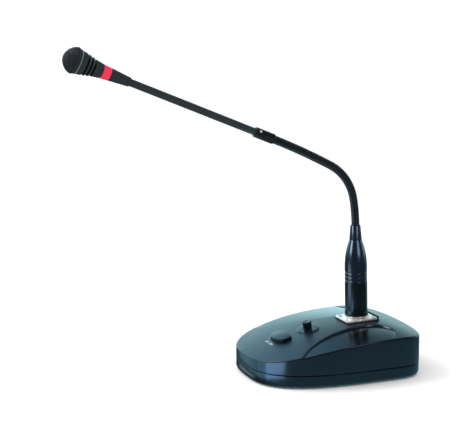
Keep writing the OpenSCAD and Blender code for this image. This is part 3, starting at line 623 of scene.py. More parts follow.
@dataclass(frozen=True)
class LitLens(Finish):
    """A clear coloured plastic that is lit from inside, a little unevenly.

    Args:
        glow: strength of the light it gives off.
    """

    PATCHES: ClassVar[float] = 0.12
    PATCH_EDGE: ClassVar[tuple[float, float]] = (0.3, 0.7)

    glow: float = 1.0

    def surface(self, graph: Graph) -> dict[str, object]:
        """The smooth finish's inputs, with a patchy glow.

        Args:
            graph: the material's nodes.

        Returns:
            Values and links by input name.
        """
        inputs = super().surface(graph)
        patch = graph.noise(self.PATCHES, 2.0).ramp(*self.PATCH_EDGE)
        inputs["Emission Color"] = graph.mix(patch, self.colour, self.second)
        inputs["Emission Strength"] = self.glow
        return inputs


@dataclass(frozen=True)
class SatinCase(Finish):
    """Satin plastic with polished places, which a point attribute marks.

    Args:
        polished: roughness of the polished places.
    """

    MASK: ClassVar[str] = "polish"

    polished: float = 0.18

    def surface(self, graph: Graph) -> dict[str, object]:
        """The smooth finish's inputs, with a lower roughness where the mask is 1.

        Args:
            graph: the material's nodes.

        Returns:
            Values and links by input name.
        """
        inputs = super().surface(graph)
        drop = graph.attribute(self.MASK) * (self.roughness - self.polished)
        inputs["Roughness"] = inputs["Roughness"] - drop
        return inputs


@dataclass(frozen=True)
class Ridged(Finish):
    """Plastic with shade painted dark into its grooves, and duller there, which a point attribute
    marks.

    Args:
        shade: the painted shade colour of the grooves.
        dull: how much rougher they are.
    """

    MASK: ClassVar[str] = "groove"

    shade: Colour = (0.001, 0.0015, 0.0015)
    dull: float = 0.4

    def surface(self, graph: Graph) -> dict[str, object]:
        """The smooth finish's inputs, with painted shade darkening the colour and a higher
        roughness where the mask is 1.

        Args:
            graph: the material's nodes.

        Returns:
            Values and links by input name.
        """
        inputs = super().surface(graph)
        mark = graph.attribute(self.MASK)
        # painted shade: the colour is darkened where the mask is 1, standing in for the shade that
        # falls in the grooves
        inputs["Base Color"] = graph.mix(mark, inputs["Base Color"], self.shade)
        inputs["Roughness"] = inputs["Roughness"] + mark * self.dull
        return inputs


@dataclass(frozen=True)
class SolderMask(Finish):
    """A lacquered circuit board with copper tracks just under the lacquer."""

    TRACKS: ClassVar[float] = 0.35
    TRACK_EDGE: ClassVar[tuple[float, float]] = (0.2, 0.8)
    TRACK_WIDTH: ClassVar[float] = 9.0
    TRACK_DEPTH: ClassVar[float] = 0.03

    def surface(self, graph: Graph) -> dict[str, object]:
        """The smooth finish's inputs, with tracks in the colour and the normal.

        Args:
            graph: the material's nodes.

        Returns:
            Values and links by input name.
        """
        inputs = super().surface(graph)
        away = graph.cells(self.TRACKS, "DISTANCE_TO_EDGE") * self.TRACK_WIDTH
        tracks = away.ramp(*self.TRACK_EDGE)
        inputs["Base Color"] = graph.mix(tracks, self.second, self.colour)
        inputs["Normal"] = graph.bump(tracks, self.TRACK_DEPTH)
        return inputs


class Look(Enum):
    """Every finish, by the record's material slot or by its own use."""

    case_plastic = Finish(
        "case_plastic", (0.0018, 0.0045, 0.006), 0.24, tint=(0.0022, 0.0055, 0.0075),
        grain=9.0, depth=0.0015,
    )
    satin_case = SatinCase(
        "satin_case", (0.0018, 0.0045, 0.006), 0.36, tint=(0.0022, 0.0055, 0.0075),
        grain=9.0, depth=0.0015,
    )
    moulded_black = Finish(
        "moulded_black", (0.014, 0.021, 0.023), 0.38, tint=(0.017, 0.025, 0.027),
    )
    ridged_black = Ridged(
        "ridged_black", (0.017, 0.023, 0.025), 0.38, tint=(0.02, 0.027, 0.029),
    )
    # partly painted shadow: a dead black, darker than moulded black, for the release tab, which
    # also stands in for the shadow in the gap behind the flange
    matte_black = Finish("matte_black", (0.003, 0.004, 0.005), 0.85, specular=0.1)
    moulded_white = Finish("moulded_white", srgb(226, 222, 212), 0.4, tint=srgb(214, 208, 196))
    button_plastic = Finish(
        "button_plastic", (0.001, 0.003, 0.004), 0.3, specular=0.42, tint=(0.0015, 0.004, 0.005),
        depth=0.002,
    )
    black_metal = TurnedMetal(
        "black_metal", (0.001, 0.0025, 0.0035), 0.22, specular=0.6, depth=0.0001, uneven=0.03,
    )
    # painted reflection: a bluer copy of black_metal, whose colour stands in for the blue
    # surroundings reflected in the sleeve and the collar
    sleeve_metal = TurnedMetal(
        "sleeve_metal", (0.003, 0.008, 0.018), 0.22, specular=0.6, depth=0.0001, uneven=0.03,
    )
    # painted reflection: a paler copy of black_metal, whose colour stands in for the grey sheen
    # that the stem picks up from the floor
    stem_metal = TurnedMetal(
        "stem_metal", (0.022, 0.028, 0.032), 0.36, specular=0.3, tint=(0.026, 0.032, 0.036),
        lines=(14.0, 1.0, 1.0), depth=0.0004,
    )
    neck_metal = TurnedMetal(
        "neck_metal", (0.0065, 0.0068, 0.0068), 0.36, specular=0.3, depth=0.001,
    )
    grille_metal = Finish("grille_metal", (0.017, 0.027, 0.031), 0.55, depth=0.002)
    plain_steel = TurnedMetal(
        "plain_steel", srgb(176, 180, 182), 0.38, 1.0, tint=srgb(158, 162, 166),
    )
    nickel = TurnedMetal(
        "nickel", (0.93, 0.81, 0.71), 0.28, 0.75, tint=(0.87, 0.76, 0.67),
        lines=(14.0, 1.0, 1.0), depth=0.002,
    )
    zinc = Finish("zinc", (0.62, 0.66, 0.67), 0.4, 0.3, tint=(0.55, 0.59, 0.6))
    plain_brass = TurnedMetal(
        "plain_brass", srgb(206, 176, 98), 0.32, 1.0, tint=srgb(188, 156, 84),
    )
    circuit_board = SolderMask("circuit_board", srgb(28, 92, 58), 0.35, tint=srgb(46, 122, 76))
    red_lens = LitLens(
        "red_lens", (0.44, 0.012, 0.036), 0.3, tint=(0.48, 0.016, 0.044), depth=0.001, glow=0.85,
    )
    pad_rubber = Finish(
        "pad_rubber", (0.012, 0.012, 0.013), 0.8, tint=(0.02, 0.02, 0.021), grain=2.5, depth=0.03,
    )
    foam = Foam(
        "foam", (0.016, 0.02, 0.021), 0.95, tint=(0.003, 0.004, 0.004), grain=2.2, depth=0.2,
    )
    # painted highlight: the grille's rim bead is coloured pale grey-green for the bright line along
    # its edge, though it is of the grille's dark metal
    rim_metal = Finish("rim_metal", (0.15, 0.19, 0.19), 0.35, tint=(0.12, 0.15, 0.155))
    print_ink = Finish("print_ink", srgb(186, 200, 206), 0.55, tint=srgb(170, 186, 194))
    bright_edge = Finish("bright_edge", srgb(205, 214, 214), 0.35, tint=srgb(186, 196, 198))


@dataclass(frozen=True)
class Assembly:
    """A group of pieces that ride on one body.

    Args:
        body: the CAD body that carries them.
    """

    body: str = "base"

    def keep(self, piece: bpy.types.Object, look: Look, slot: str, *nodes: str) -> None:
        """Finishes a piece, fixes it to the body and hides the CAD nodes that it replaces.

        Args:
            piece: the new object.
            look: its finish.
            slot: the record's material slot; not used.
            nodes: the CAD nodes that it replaces.
        """
        look.value.on(piece)
        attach(piece, self.body)
        if nodes:
            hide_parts(*nodes)
        LOG.info("%s: %d faces", piece.name, len(piece.data.polygons))


@dataclass(frozen=True)
class BaseShape:
    """The base's outline and top, as in the CAD source, in millimetres."""

    width: float = 123.0
    front: float = 111.5
    back: float = 42.5
    waist_y: float = 2.0
    front_power: float = 3.0
    back_power: float = 4.0
    height: float = 42.0
    peak_y: float = 12.0
    side_r: float = 384.0
    back_r: float = 110.0
    crown_r: float = 540.0
    panel_reach: float = 20.5
    panel_front_r: float = 108.0
    panel_back_r: float = 18.5
    panel_y: float = 2.0
    panel_slant: float = 25.0
    panel_share: float = 0.54
    step_w: float = 1.1
    control_y: float = 62.5
    control_half: float = 13.5

    def outline(self, inset: float, count: int) -> Array:
        """The outline seen from above.

        Args:
            inset: how far it is drawn in.
            count: its points.

        Returns:
            Even points (count, 2) from the left, front first.
        """
        oval = power_oval(
            self.width / 2 - inset, self.front + self.waist_y - inset,
            self.back - self.waist_y - inset, self.front_power, self.back_power,
        )
        return resample(oval, count) + [0.0, self.waist_y]

    def ridge(self, y: Array) -> Array:
        """The height along the middle: a long arc in front of peak_y and a short one behind it."""
        r = np.where(y > self.peak_y, self.back_r, self.side_r)
        return self.height - r + np.sqrt(r ** 2 - (y - self.peak_y) ** 2)

    def panel_depth(self, x: Array, y: Array) -> Array:
        """How far a point is inside a side panel.

        The panel's inner edge is an arc about (reach + front_r, -panel_y) in front, and behind that
        a small arc which runs into a slanted straight line.

        Args:
            x, y: the points.

        Returns:
            The depth, negative outside the panel.
        """
        x, y = np.abs(x), y + self.panel_y
        front = self.panel_front_r - np.hypot(x - self.panel_reach - self.panel_front_r, y)
        away = x - self.panel_reach - self.panel_back_r
        slant = math.radians(90 - self.panel_slant)
        corner = self.panel_back_r - np.hypot(away, y)
        edge = self.panel_back_r - away * math.cos(slant) - y * math.sin(slant)
        back = np.where(np.arctan2(y, away) > slant, corner, edge)
        return np.where(y <= 0, front, back)

    def in_panel(self, x: Array, y: Array) -> Array:
        """1 in a side panel and 0 outside it, eased over the width of its step."""
        return smoothstep(self.panel_depth(x, y) / self.step_w + 0.5)

    def crown(self, x: Array, y: Array, across: float) -> Array:
        """A crown over the ridge: z = h - R + sqrt((R - h + ridge(y))^2 - x^2), R = across."""
        ring = across - self.height + self.ridge(y)
        return self.height - across + np.sqrt(ring ** 2 - x ** 2)

    def top(self, x: Array, y: Array) -> Array:
        """The crowned top, with both side panels scooped out.

        The panels' floor is a flatter crown that lies lower by a share of the top's fall over half
        the width, and meets the top there.

        Args:
            x, y: the points.

        Returns:
            Their heights.
        """
        crown = self.crown(x, y, self.crown_r)
        fall = self.crown_r - math.sqrt(self.crown_r ** 2 - self.width ** 2 / 4)
        rest = (1 - self.panel_share) * fall
        flatter = (self.width ** 2 / 4 + rest ** 2) / (2 * rest)
        floor = np.minimum(self.crown(x, y, flatter) - self.panel_share * fall, crown)
        return crown + (floor - crown) * self.in_panel(x, y)

    def controls(self, along: float) -> Placement:
        """A frame on the control plane.

        Args:
            along: how far it is moved along the plane, towards the rear.

        Returns:
            The frame.
        """
        tilt = math.degrees(math.asin((self.peak_y + self.control_y) / self.side_r))
        height = float(self.ridge(np.array(-self.control_y)))
        return Placement(-self.control_y, height, tilt).moved(along)

    def button(self) -> Placement:
        """The talk button's frame."""
        return self.controls(-self.control_half)

    def knob(self) -> Placement:
        """The volume knob's frame."""
        return self.controls(self.control_half)


@dataclass(frozen=True)
class ButtonOval:
    """The talk button's outline |x / a|^n + |y / b|^n = 1, which its hole follows."""

    width: float = 24.5
    length: float = 16.0
    power: float = 2.3

    def ring(self, grow: float, count: int) -> Array:
        """Even points (count, 2) on the oval, grown outwards."""
        a, b = self.width / 2 + grow, self.length / 2 + grow
        return resample(power_oval(a, b, b, self.power, self.power), count)

    def holds(self, x: Array, y: Array, grow: float) -> Array:
        """Which points lie inside the oval, grown outwards."""
        a, b = self.width / 2 + grow, self.length / 2 + grow
        return np.abs(x / a) ** self.power + np.abs(y / b) ** self.power < 1


@dataclass(frozen=True)
class Housing(Assembly):
    """The cover and the tray, with what is moulded or printed on them."""

    shape: BaseShape = BaseShape()
    button: ButtonOval = ButtonOval()
    columns: int = 400
    rows: int = 188
    edge: float = 1.1
    edge_steps: int = 8
    wall_steps: int = 24
    seam_top: float = 12.3
    seam_bottom: float = 11.7
    lip: float = 0.4
    lip_back: float = 1.5
    wall: float = 2.5
    wall_polish: float = 0.6
    recess_half: tuple[float, float] = (13.5, 17.1)
    recess_y: float = 1.1
    recess_floor: float = 40.2
    top_low: float = 20.3
    jack_z: float = 23.0
    jack_hole: float = 4.9
    tongue_in: float = 2.6
    tongue_w: float = 1.5
    tongue_top: float = 14.6
    foot_z: float = 1.0
    foot_round: float = 4.0
    pad_inset: float = 7.1
    pad_z: float = 1.5
    middle_inset: float = 30.0
    hole_gap: float = 0.35
    hole_lap: float = 0.5
    hole_low: float = -3.5
    hole_rise: float = 0.02
    hole_ease: float = 0.35
    hole_edge_w: float = 1.5
    hole_hem: tuple[float, float] = (1.9, -0.3)
    hole_columns: int = 240
    dial_d: float = 20.5
    dial_top: float = 0.36
    dial_deep: float = 2.2
    dial_bore: float = 2.6
    dial_bore_deep: float = 3.0
    dial_sides: int = 128
    label: str = "ON / OFF"
    label_spot: tuple[float, float] = (0.6, -88.0)
    label_size: float = 3.3
    label_bold: float = 0.1
    label_rise: float = 0.05

    def build(self) -> None:
        """Makes the pieces."""
        self.keep(self.cover(), Look.satin_case, "case_plastic", "base_cover")
        self.keep(self.tray(), Look.case_plastic, "case_plastic", "bottom_tray")
        self.keep(self.hole_edge(), Look.case_plastic, "case_plastic")
        self.keep(self.dial(), Look.case_plastic, "case_plastic")
        self.keep(self.switch_mark(), Look.print_ink, "moulded_white")

    def rings(self, profile: Array) -> Array:
        """Points (rows, columns, 3) of a profile of (inset, height) rows led round the outline."""
        flat = np.stack([self.shape.outline(float(inset), self.columns) for inset in profile[:, 0]])
        return raised(flat, profile[:, 1:])

    def cover(self) -> bpy.types.Object:
        """Makes the moulded cover.

        Rays run from the middle of the socket's recess to the outline, p = c + d (a + v (b - a)),
        and carry the top's height. The edge then turns down into the wall by a quarter circle, and
        in again at the seam.

        Returns:
            The cover, open over the button and at the jack.
        """
        outer = self.shape.outline(0.0, self.columns)
        inner = self.shape.outline(self.edge, self.columns)
        centre = np.array([0.0, self.recess_y])
        reach = np.linalg.norm(inner - centre, axis=1)
        ray = (inner - centre) / reach[:, None]
        near = (self.recess_half / np.maximum(np.abs(ray), TINY)).min(axis=1)
        spread = np.linspace(0, 1, self.rows)[:, None]
        top = centre + ray * (near + spread * (reach - near))[..., None]
        turn = np.linspace(0, np.pi / 2, self.edge_steps + 1)[1:, None]
        edge = outer + (inner - outer) * (1 - np.sin(turn))[..., None]
        edge_z = self.shape.top(edge[..., 0], edge[..., 1]) - self.edge * (1 - np.cos(turn))
        fall = np.linspace(0, 1, self.wall_steps + 1)[1:, None]
        wall_z = edge_z[-1] + (self.seam_top + self.lip - edge_z[-1]) * fall
        lip = rounded([
            (0.0, self.lip), (0.0, 0.0, self.lip), (self.wall, 0.0), (self.wall, self.lip_back),
        ])[1:]
        points = np.concatenate([
            raised(centre + ray * near[:, None], self.recess_floor)[None],
            raised(top, self.shape.top(top[..., 0], top[..., 1])),
            raised(edge, edge_z),
            raised(outer, wall_z),
            self.rings(lip + [0.0, self.seam_top]),
        ])
        faces = Form.quads(*points.shape[:2], True)
        middle = points.reshape(-1, 3)[faces].mean(axis=1)
        keep = ~(self.over_button(middle) | self.at_jack(middle))
        skin = Form.mesh("cover_skin", points.reshape(-1, 3), faces[keep])
        polish = self.shape.in_panel(points[..., 0], points[..., 1])
        polish[1 + len(top) + len(edge) // 2:] = self.wall_polish
        Form.mark(skin, SatinCase.MASK, polish)
        return skin

    def over_button(self, points: Array) -> Array:
        """Which points of the top lie over the button's hole.

        Args:
            points: (n, 3).

        Returns:
            True or False for each.
        """
        x, y = points[:, 0], points[:, 1] - self.shape.button().y
        inside = self.button.holds(x, y, self.hole_gap + self.hole_lap)
        return inside & (points[:, 2] > self.top_low)

    def at_jack(self, points: Array) -> Array:
        """Which points lie in the output jack's hole in the rear wall."""
        away = np.hypot(points[:, 0], points[:, 2] - self.jack_z)
        return (away < self.jack_hole) & (points[:, 1] > 0)

    def tray(self) -> bpy.types.Object:
        """The tray: a profile led round the outline, from its tongue behind the wall to its middle.

        Returns:
            The tray.
        """
        profile = rounded([
            (self.tongue_in + self.tongue_w, self.tongue_top), (self.tongue_in, self.tongue_top),
            (self.tongue_in, self.seam_bottom), (0.0, self.seam_bottom, self.lip),
            (0.0, self.foot_z, self.foot_round), (self.pad_inset, self.foot_z, 0.2),
            (self.pad_inset, self.pad_z), (self.middle_inset, self.pad_z),
        ])
        return Form.grid("tray_skin", self.rings(profile))

    def hole_edge(self) -> bpy.types.Object:
        """The eased edge of the button's hole: rows of (growth, rise) led round its oval.

        Returns:
            The edge.
        """
        place = self.shape.button()
        lean = [1.0, math.cos(math.radians(place.tilt))]
        profile = rounded([
            (self.hole_gap, self.hole_low), (self.hole_gap, self.hole_rise, self.hole_ease),
            (self.hole_edge_w, self.hole_rise), self.hole_hem,
        ])
        ovals = [self.button.ring(float(grow), self.hole_columns) for grow in profile[:, 0]]
        flat = np.stack(ovals) * lean + [0.0, place.y]
        height = self.shape.top(flat[..., 0], flat[..., 1]) + profile[:, 1:]
        return Form.grid("button_hole_edge", raised(flat, height))

    def dial(self) -> bpy.types.Object:
        """The low round boss under the knob, a turned profile.

        Returns:
            The boss.
        """
        r, top, bore = self.dial_d / 2, self.dial_top, self.dial_bore
        profile = rounded([
            (bore, top - self.dial_bore_deep), (bore, top, 0.2), (r, top, 0.3),
            (r, top - self.dial_deep),
        ])
        return Form.revolve("dial_boss", profile, self.shape.knob(), self.dial_sides)

    def switch_mark(self) -> bpy.types.Object:
        """The plain mark in front of the button, laid on the top's slope.

        Returns:
            The mark, as a flat mesh.
        """
        curve = bpy.data.curves.new("mark", "FONT")
        curve.body = self.label
        curve.size = self.label_size * MM
        curve.offset = self.label_bold * MM
        curve.align_x, curve.align_y = "CENTER", "CENTER"
        curve.resolution_u = 4
        text = Form.linked("mark", curve)
        bpy.context.view_layer.update()
        mesh = bpy.data.meshes.new_from_object(text)
        bpy.data.objects.remove(text)
        x, y = self.label_spot
        slope = math.asin((self.shape.peak_y - y) / self.shape.side_r)
        height = float(self.shape.top(np.array(x), np.array(y))) + self.label_rise
        spot = Matrix.Translation(Vector((x, y, height)) * MM)
        mesh.transform(spot @ Matrix.Rotation(slope, 4, "X"))
        return Form.linked("switch_mark", mesh)


@dataclass(frozen=True)
class TalkButton(Assembly):
    """The oval talk button."""

    body: str = "talk_button"
    shape: BaseShape = BaseShape()
    oval: ButtonOval = ButtonOval()
    proud: float = 3.0
    crown: float = 200.0
    bottom: float = -5.5
    ease: float = 0.3
    rim: float = 6.0
    middle: float = 0.001
    columns: int = 192
    ease_rows: int = 10
    middle_rows: int = 14

    def build(self) -> None:
        """Makes the cap: rings of the oval drawn in towards its middle, over a spherical crown.

        z = proud - crown + sqrt(crown^2 - x^2 - y^2) + fall, where fall rounds the edge.
        """
        corners = [(0.0, self.bottom), (0.0, 0.0, self.ease), (self.rim, 0.0)]
        rim = rounded(corners, self.ease_rows)
        share = 1.0 - rim[:, 0] / (self.oval.length / 2)
        inner = np.linspace(share[-1], self.middle, self.middle_rows)[1:]
        share = np.concatenate([share, inner])
        fall = np.pad(rim[:, 1], (0, len(share) - len(rim)))
        flat = share[:, None, None] * self.oval.ring(0.0, self.columns)
        dome = self.proud - self.crown + np.sqrt(self.crown ** 2 - (flat ** 2).sum(axis=-1))
        points = self.shape.button().put(raised(flat, dome + fall[:, None]))
        look = (Look.button_plastic, "button_plastic")
        self.keep(Form.grid("button_cap", points), *look, "talk_button")


@dataclass(frozen=True)
class VolumeKnob(Assembly):
    """The fluted knob with its rim and its pointer line."""

    body: str = "volume_knob"
    shape: BaseShape = BaseShape()
    diameter: float = 8.0
    height: float = 6.5
    flutes: int = 18
    flute: float = 0.42
    flute_power: float = 1.5
    flute_sides: int = 16
    flute_low: float = 0.9
    flute_edge: float = 0.9
    seat: float = 0.66
    foot_r: float = 2.4
    foot_h: float = 1.0
    rim_w: float = 1.0
    dish: float = 0.15
    bead: tuple[Corner, ...] = (
        (-1.02, -0.1), (-0.95, 0.04), (-0.62, 0.02), (-0.55, -0.2),
    )
    line_sunk: float = 0.1
    line_half: float = 0.3
    line_start: float = 0.6
    line_end: float = 2.8

    def build(self) -> None:
        """Makes the knob, its rim and the pointer."""
        place = self.shape.knob().moved(0.0, self.seat)
        look = (Look.button_plastic, "button_plastic")
        self.keep(Form.grid("knob_body", place.put(self.fluted())), *look, "volume_knob")
        ring = rounded(self.bead) + [self.diameter / 2, self.height]
        self.keep(Form.revolve("knob_rim", ring, place), *look)
        across = np.array([-self.line_half, self.line_half])
        along = np.array([[self.line_start], [self.line_end]])
        bar = place.put(xyz(across, along, np.array(self.height - self.line_sunk)))
        self.keep(Form.grid("knob_pointer", bar, False), Look.bright_edge, "moulded_white")

    def fluted(self) -> Array:
        """A turned profile with flutes: r = R - flute max(0, cos(n t))^p below its eased edge.

        Returns:
            Points (rows, columns, 3).
        """
        r, h = self.diameter / 2, self.height
        dish_r, dish_h = r - self.rim_w - self.dish, h - self.dish
        profile = rounded([
            (self.foot_r, 0.0), (r, 0.0, 0.3), (r, self.foot_h), (r, self.foot_h + 0.3),
            (r, h - 0.9), (r, h - 0.6), (r, h, 0.55), (r - self.rim_w, h, 0.2),
            (dish_r, dish_h, 0.1), (0.01, dish_h),
        ])
        turn = angles(self.flutes * self.flute_sides)
        dent = self.flute * np.maximum(np.cos(self.flutes * turn), 0.0) ** self.flute_power
        low = smoothstep((profile[:, 1:] - self.flute_low) / 0.5)
        cut = low * smoothstep((profile[:, :1] - r + self.flute_edge) / 0.4)
        return about_z(profile[:, :1] - dent * cut, turn, profile[:, 1:])


SOCKET = Placement(0.0, 44.0125, 1.8)


@dataclass(frozen=True)
class PanelSocket(Assembly):
    """The socket's nickel flange on a dark gasket, which also stands in for the shade under the
    plate, its two screws and its bore.
    """

    width: float = 26.0
    length: float = 31.0
    corner_power: float = 14.0
    columns: int = 256
    thick: float = 3.2
    plate_t: float = 1.3
    plate_hem: float = 1.0
    gasket_in: float = 0.3
    bore: float = 9.45
    seat_w: float = 1.2
    ring: float = 11.75
    ring_h: float = 2.3
    ring_foot: float = 0.4
    depth: float = 17.0
    spot: tuple[float, float] = (9.5, 12.0)
    head_r: float = 2.8
    head_rise: float = 0.55
    head_lift: float = 1.15
    head_low: float = -0.4
    head_middle: float = 0.004
    head_rows: int = 36
    head_columns: int = 128
    cross_half: float = 0.5
    cross_reach: float = 1.5
    cross_depth: float = 0.75

    def build(self) -> None:
        """Makes the flange, the gasket with its painted shade and the screws' heads."""
        self.keep(self.flange(), Look.nickel, "nickel", "socket_housing")
        # the gasket is partly painted shade: its dark band under the plate stands in for the shade
        # beneath the plate's edge
        self.keep(self.gasket(), Look.pad_rubber, "pad_rubber")
        x, y = self.spot
        self.keep(self.screw("flange_screw_right", x, y), Look.nickel, "nickel", "flange_screws")
        self.keep(self.screw("flange_screw_left", -x, -y), Look.nickel, "nickel")

    def plan(self) -> tuple[Array, Array]:
        """The plate's rounded rectangle |x / a|^n + |y / b|^n = 1, by rays.

        Returns:
            The rays (n, 2) from the axis, and how far out the rectangle is on each.
        """
        turn = angles(self.columns)
        rays = np.stack([np.cos(turn), np.sin(turn)], axis=-1)
        share = np.abs(rays / [self.width / 2, self.length / 2]) ** self.corner_power
        return rays, share.sum(axis=-1) ** (-1 / self.corner_power)

    def flange(self) -> bpy.types.Object:
        """The bore, the raised ring and the plate: circles r (cos t, sin t), then the rectangle.

        Returns:
            The flange.
        """
        rays, out = self.plan()
        ring = rounded([
            (self.bore - self.seat_w, -self.depth), (self.bore, -self.depth),
            (self.bore, self.ring_h, 0.35), (self.ring, self.ring_h, 0.35), (self.ring, 0.0, 0.25),
            (self.ring + self.ring_foot, 0.0),
        ])
        hem, low = -self.plate_hem, -self.plate_t
        plate = rounded([(hem, 0.0), (0.0, 0.0, 0.4), (0.0, low), (hem, low)])
        radius = np.concatenate([np.repeat(ring[:, :1], len(out), axis=1), out + plate[:, :1]])
        height = np.concatenate([ring[:, 1:], plate[:, 1:]])
        return Form.grid("socket_flange", SOCKET.put(raised(rays * radius[..., None], height)))

    def gasket(self) -> bpy.types.Object:
        """The gasket's edge, a little inside the plate's: a dark band that stands in for the shade
        under the plate.

        Returns:
            The gasket.
        """
        rays, out = self.plan()
        levels = np.array([[-self.plate_t], [-self.thick]])
        points = raised(rays * (out - self.gasket_in)[:, None], levels)
        return Form.grid("socket_gasket_shade", SOCKET.put(points))

    def screw(self, name: str, x: float, y: float) -> bpy.types.Object:
        """A domed head, z = rise (lift - (r / R)^2), with a cross cut into it.

        Args:
            name: the piece's name.
            x, y: its place on the flange.

        Returns:
            The head.
        """
        turn = angles(self.head_columns)
        share = np.linspace(self.head_middle, 1, self.head_rows)
        share = np.append(share, 1.0)[:, None]
        px, py = self.head_r * share * np.cos(turn), self.head_r * share * np.sin(turn)
        arm = np.minimum(np.abs(px), np.abs(py))
        reach = np.maximum(np.abs(px), np.abs(py))
        cut = smoothstep((self.cross_half - arm) / 0.18)
        cut = cut * smoothstep((self.cross_reach - reach) / 0.2)
        height = self.head_rise * (self.head_lift - share ** 2) - self.cross_depth * cut
        height[-1] = self.head_low
        return Form.grid(name, SOCKET.put(xyz(px + x, py + y, height)))


@dataclass(frozen=True)
class Latch(Assembly):
    """The release tab behind the socket's flange, in a dead black that also paints the shadow in
    the gap behind the flange.
    """

    body: str = "latch"
    width: float = 22.0
    thick: float = 1.8
    front: float = 15.8
    top: float = 0.5
    bottom: float = -6.5
    square: float = 8.0
    ease: float = 0.3
    slit: float = 0.01
    columns: int = 128

    def build(self) -> None:
        """Makes the tab: rows of the oval |x / a|^n + |y / b|^n = 1 that close over its top."""
        half = self.thick / 2
        rows = rounded([
            (half - self.slit, self.top), (0.0, self.top, self.ease), (0.0, self.bottom),
        ])
        turn = angles(self.columns)
        inset, height = rows[:, :1], rows[:, 1:]
        points = SOCKET.put(xyz(
            (self.width / 2 - inset) * squared(np.cos(turn), self.square),
            self.front + half + (half - inset) * squared(np.sin(turn), self.square),
            height,
        ))
        # the tab's dead black is partly painted shadow
        look = (Look.matte_black, "moulded_black")
        self.keep(Form.grid("release_tab", points), *look, "latch_tab")


@dataclass(frozen=True)
class Plug(Assembly):
    """The gooseneck's plug: barrel, grooved sleeve and collar."""

    body: str = "plug"
    barrel_r: float = 10.3
    foot_r: float = 10.85
    flare: tuple[float, float, float] = (3.9, 6.4, 8.9)
    flare_r: float = 0.12
    barrel_h: float = 33.8
    barrel_z: float = 2.6
    nose_r: float = 9.3
    nose_bore: float = 7.9
    nose_end: float = -15.5
    sleeve_bore: float = 8.5
    sleeve_end_bore: float = 4.0
    sleeve_l: float = 38.8
    grip_in: float = 0.1
    grip_l: float = 13.0
    grip_hem: float = 1.0
    sleeve_end_r: float = 5.65
    collar_l: float = 13.3
    collar_end_r: float = 4.5
    collar_bore: float = 3.0
    bore: float = 3.8
    bore_deep: float = 3.0
    gap: float = 0.05
    sides: int = 128
    taper_rows: int = 40
    grooves: int = 3
    groove_first: float = 1.5
    groove_step: float = 3.6
    groove_half: float = 0.62
    groove_depth: float = 0.55

    def build(self) -> None:
        """Makes the three turned pieces."""
        # the sleeve and the collar wear the black metal with a painted blue reflection
        upper = (Look.sleeve_metal, "black_metal")
        barrel = Form.revolve("barrel", self.barrel(), SOCKET, self.sides)
        self.keep(barrel, Look.black_metal, "black_metal", "plug_barrel")
        middle = SOCKET.moved(0.0, self.barrel_h + self.gap)
        sleeve = Form.revolve("sleeve", self.sleeve(), middle, self.sides)
        self.keep(sleeve, *upper, "plug_sleeve")
        end = middle.moved(0.0, self.sleeve_l + self.gap)
        self.keep(Form.revolve("collar", self.collar(), end), *upper, "neck_collar")

    def barrel(self) -> Array:
        """The barrel's profile (n, 2), from its nose over a flared foot to its top.

        Returns:
            Rows of (radius, height).
        """
        r, foot, top = self.barrel_r, self.foot_r, self.barrel_h
        start, middle, end = self.flare
        return rounded([
            (self.nose_bore, self.nose_end), (self.nose_r, self.nose_end, 0.4),
            (self.nose_r, self.barrel_z), (foot, self.barrel_z, 0.5), (foot, start, 1.0),
            (r + self.flare_r, middle, 1.2), (r, end, 1.2), (r, top, 0.45), (self.sleeve_bore, top),
        ], 8)

    def sleeve(self) -> Array:
        """The sleeve's profile: a grip with turned grooves, then an arc that starts straight.

        Returns:
            Rows of (radius, height).
        """
        r, half = self.barrel_r - self.grip_in, self.groove_half
        corners: list[Corner] = [(self.sleeve_bore, 0.0), (r, 0.0, 0.45)]
        for k in range(self.grooves):
            z = self.groove_first + k * self.groove_step
            corners += [
                (r, z - half, 0.18), (r - self.groove_depth, z, 0.25), (r, z + half, 0.18),
            ]
        grip = rounded([*corners, (r, self.grip_l - self.grip_hem)])
        drop, length = r - self.sleeve_end_r, self.sleeve_l - self.grip_l
        arc = (length ** 2 + drop ** 2) / (2 * drop)
        z = np.linspace(0, length, self.taper_rows)
        taper = np.stack([r - arc + np.sqrt(arc ** 2 - z ** 2), self.grip_l + z], axis=-1)
        return np.concatenate([grip, taper, [[self.sleeve_end_bore, self.sleeve_l]]])

    def collar(self) -> Array:
        """The collar's profile: a cone with a bore for the neck.

        Returns:
            Rows of (radius, height).
        """
        end = self.collar_l
        return rounded([
            (self.collar_bore, 0.0), (self.sleeve_end_r, 0.0, 0.35), (self.collar_end_r, end, 0.4),
            (self.bore, end, 0.1), (self.bore, end - self.bore_deep),
        ], 8)


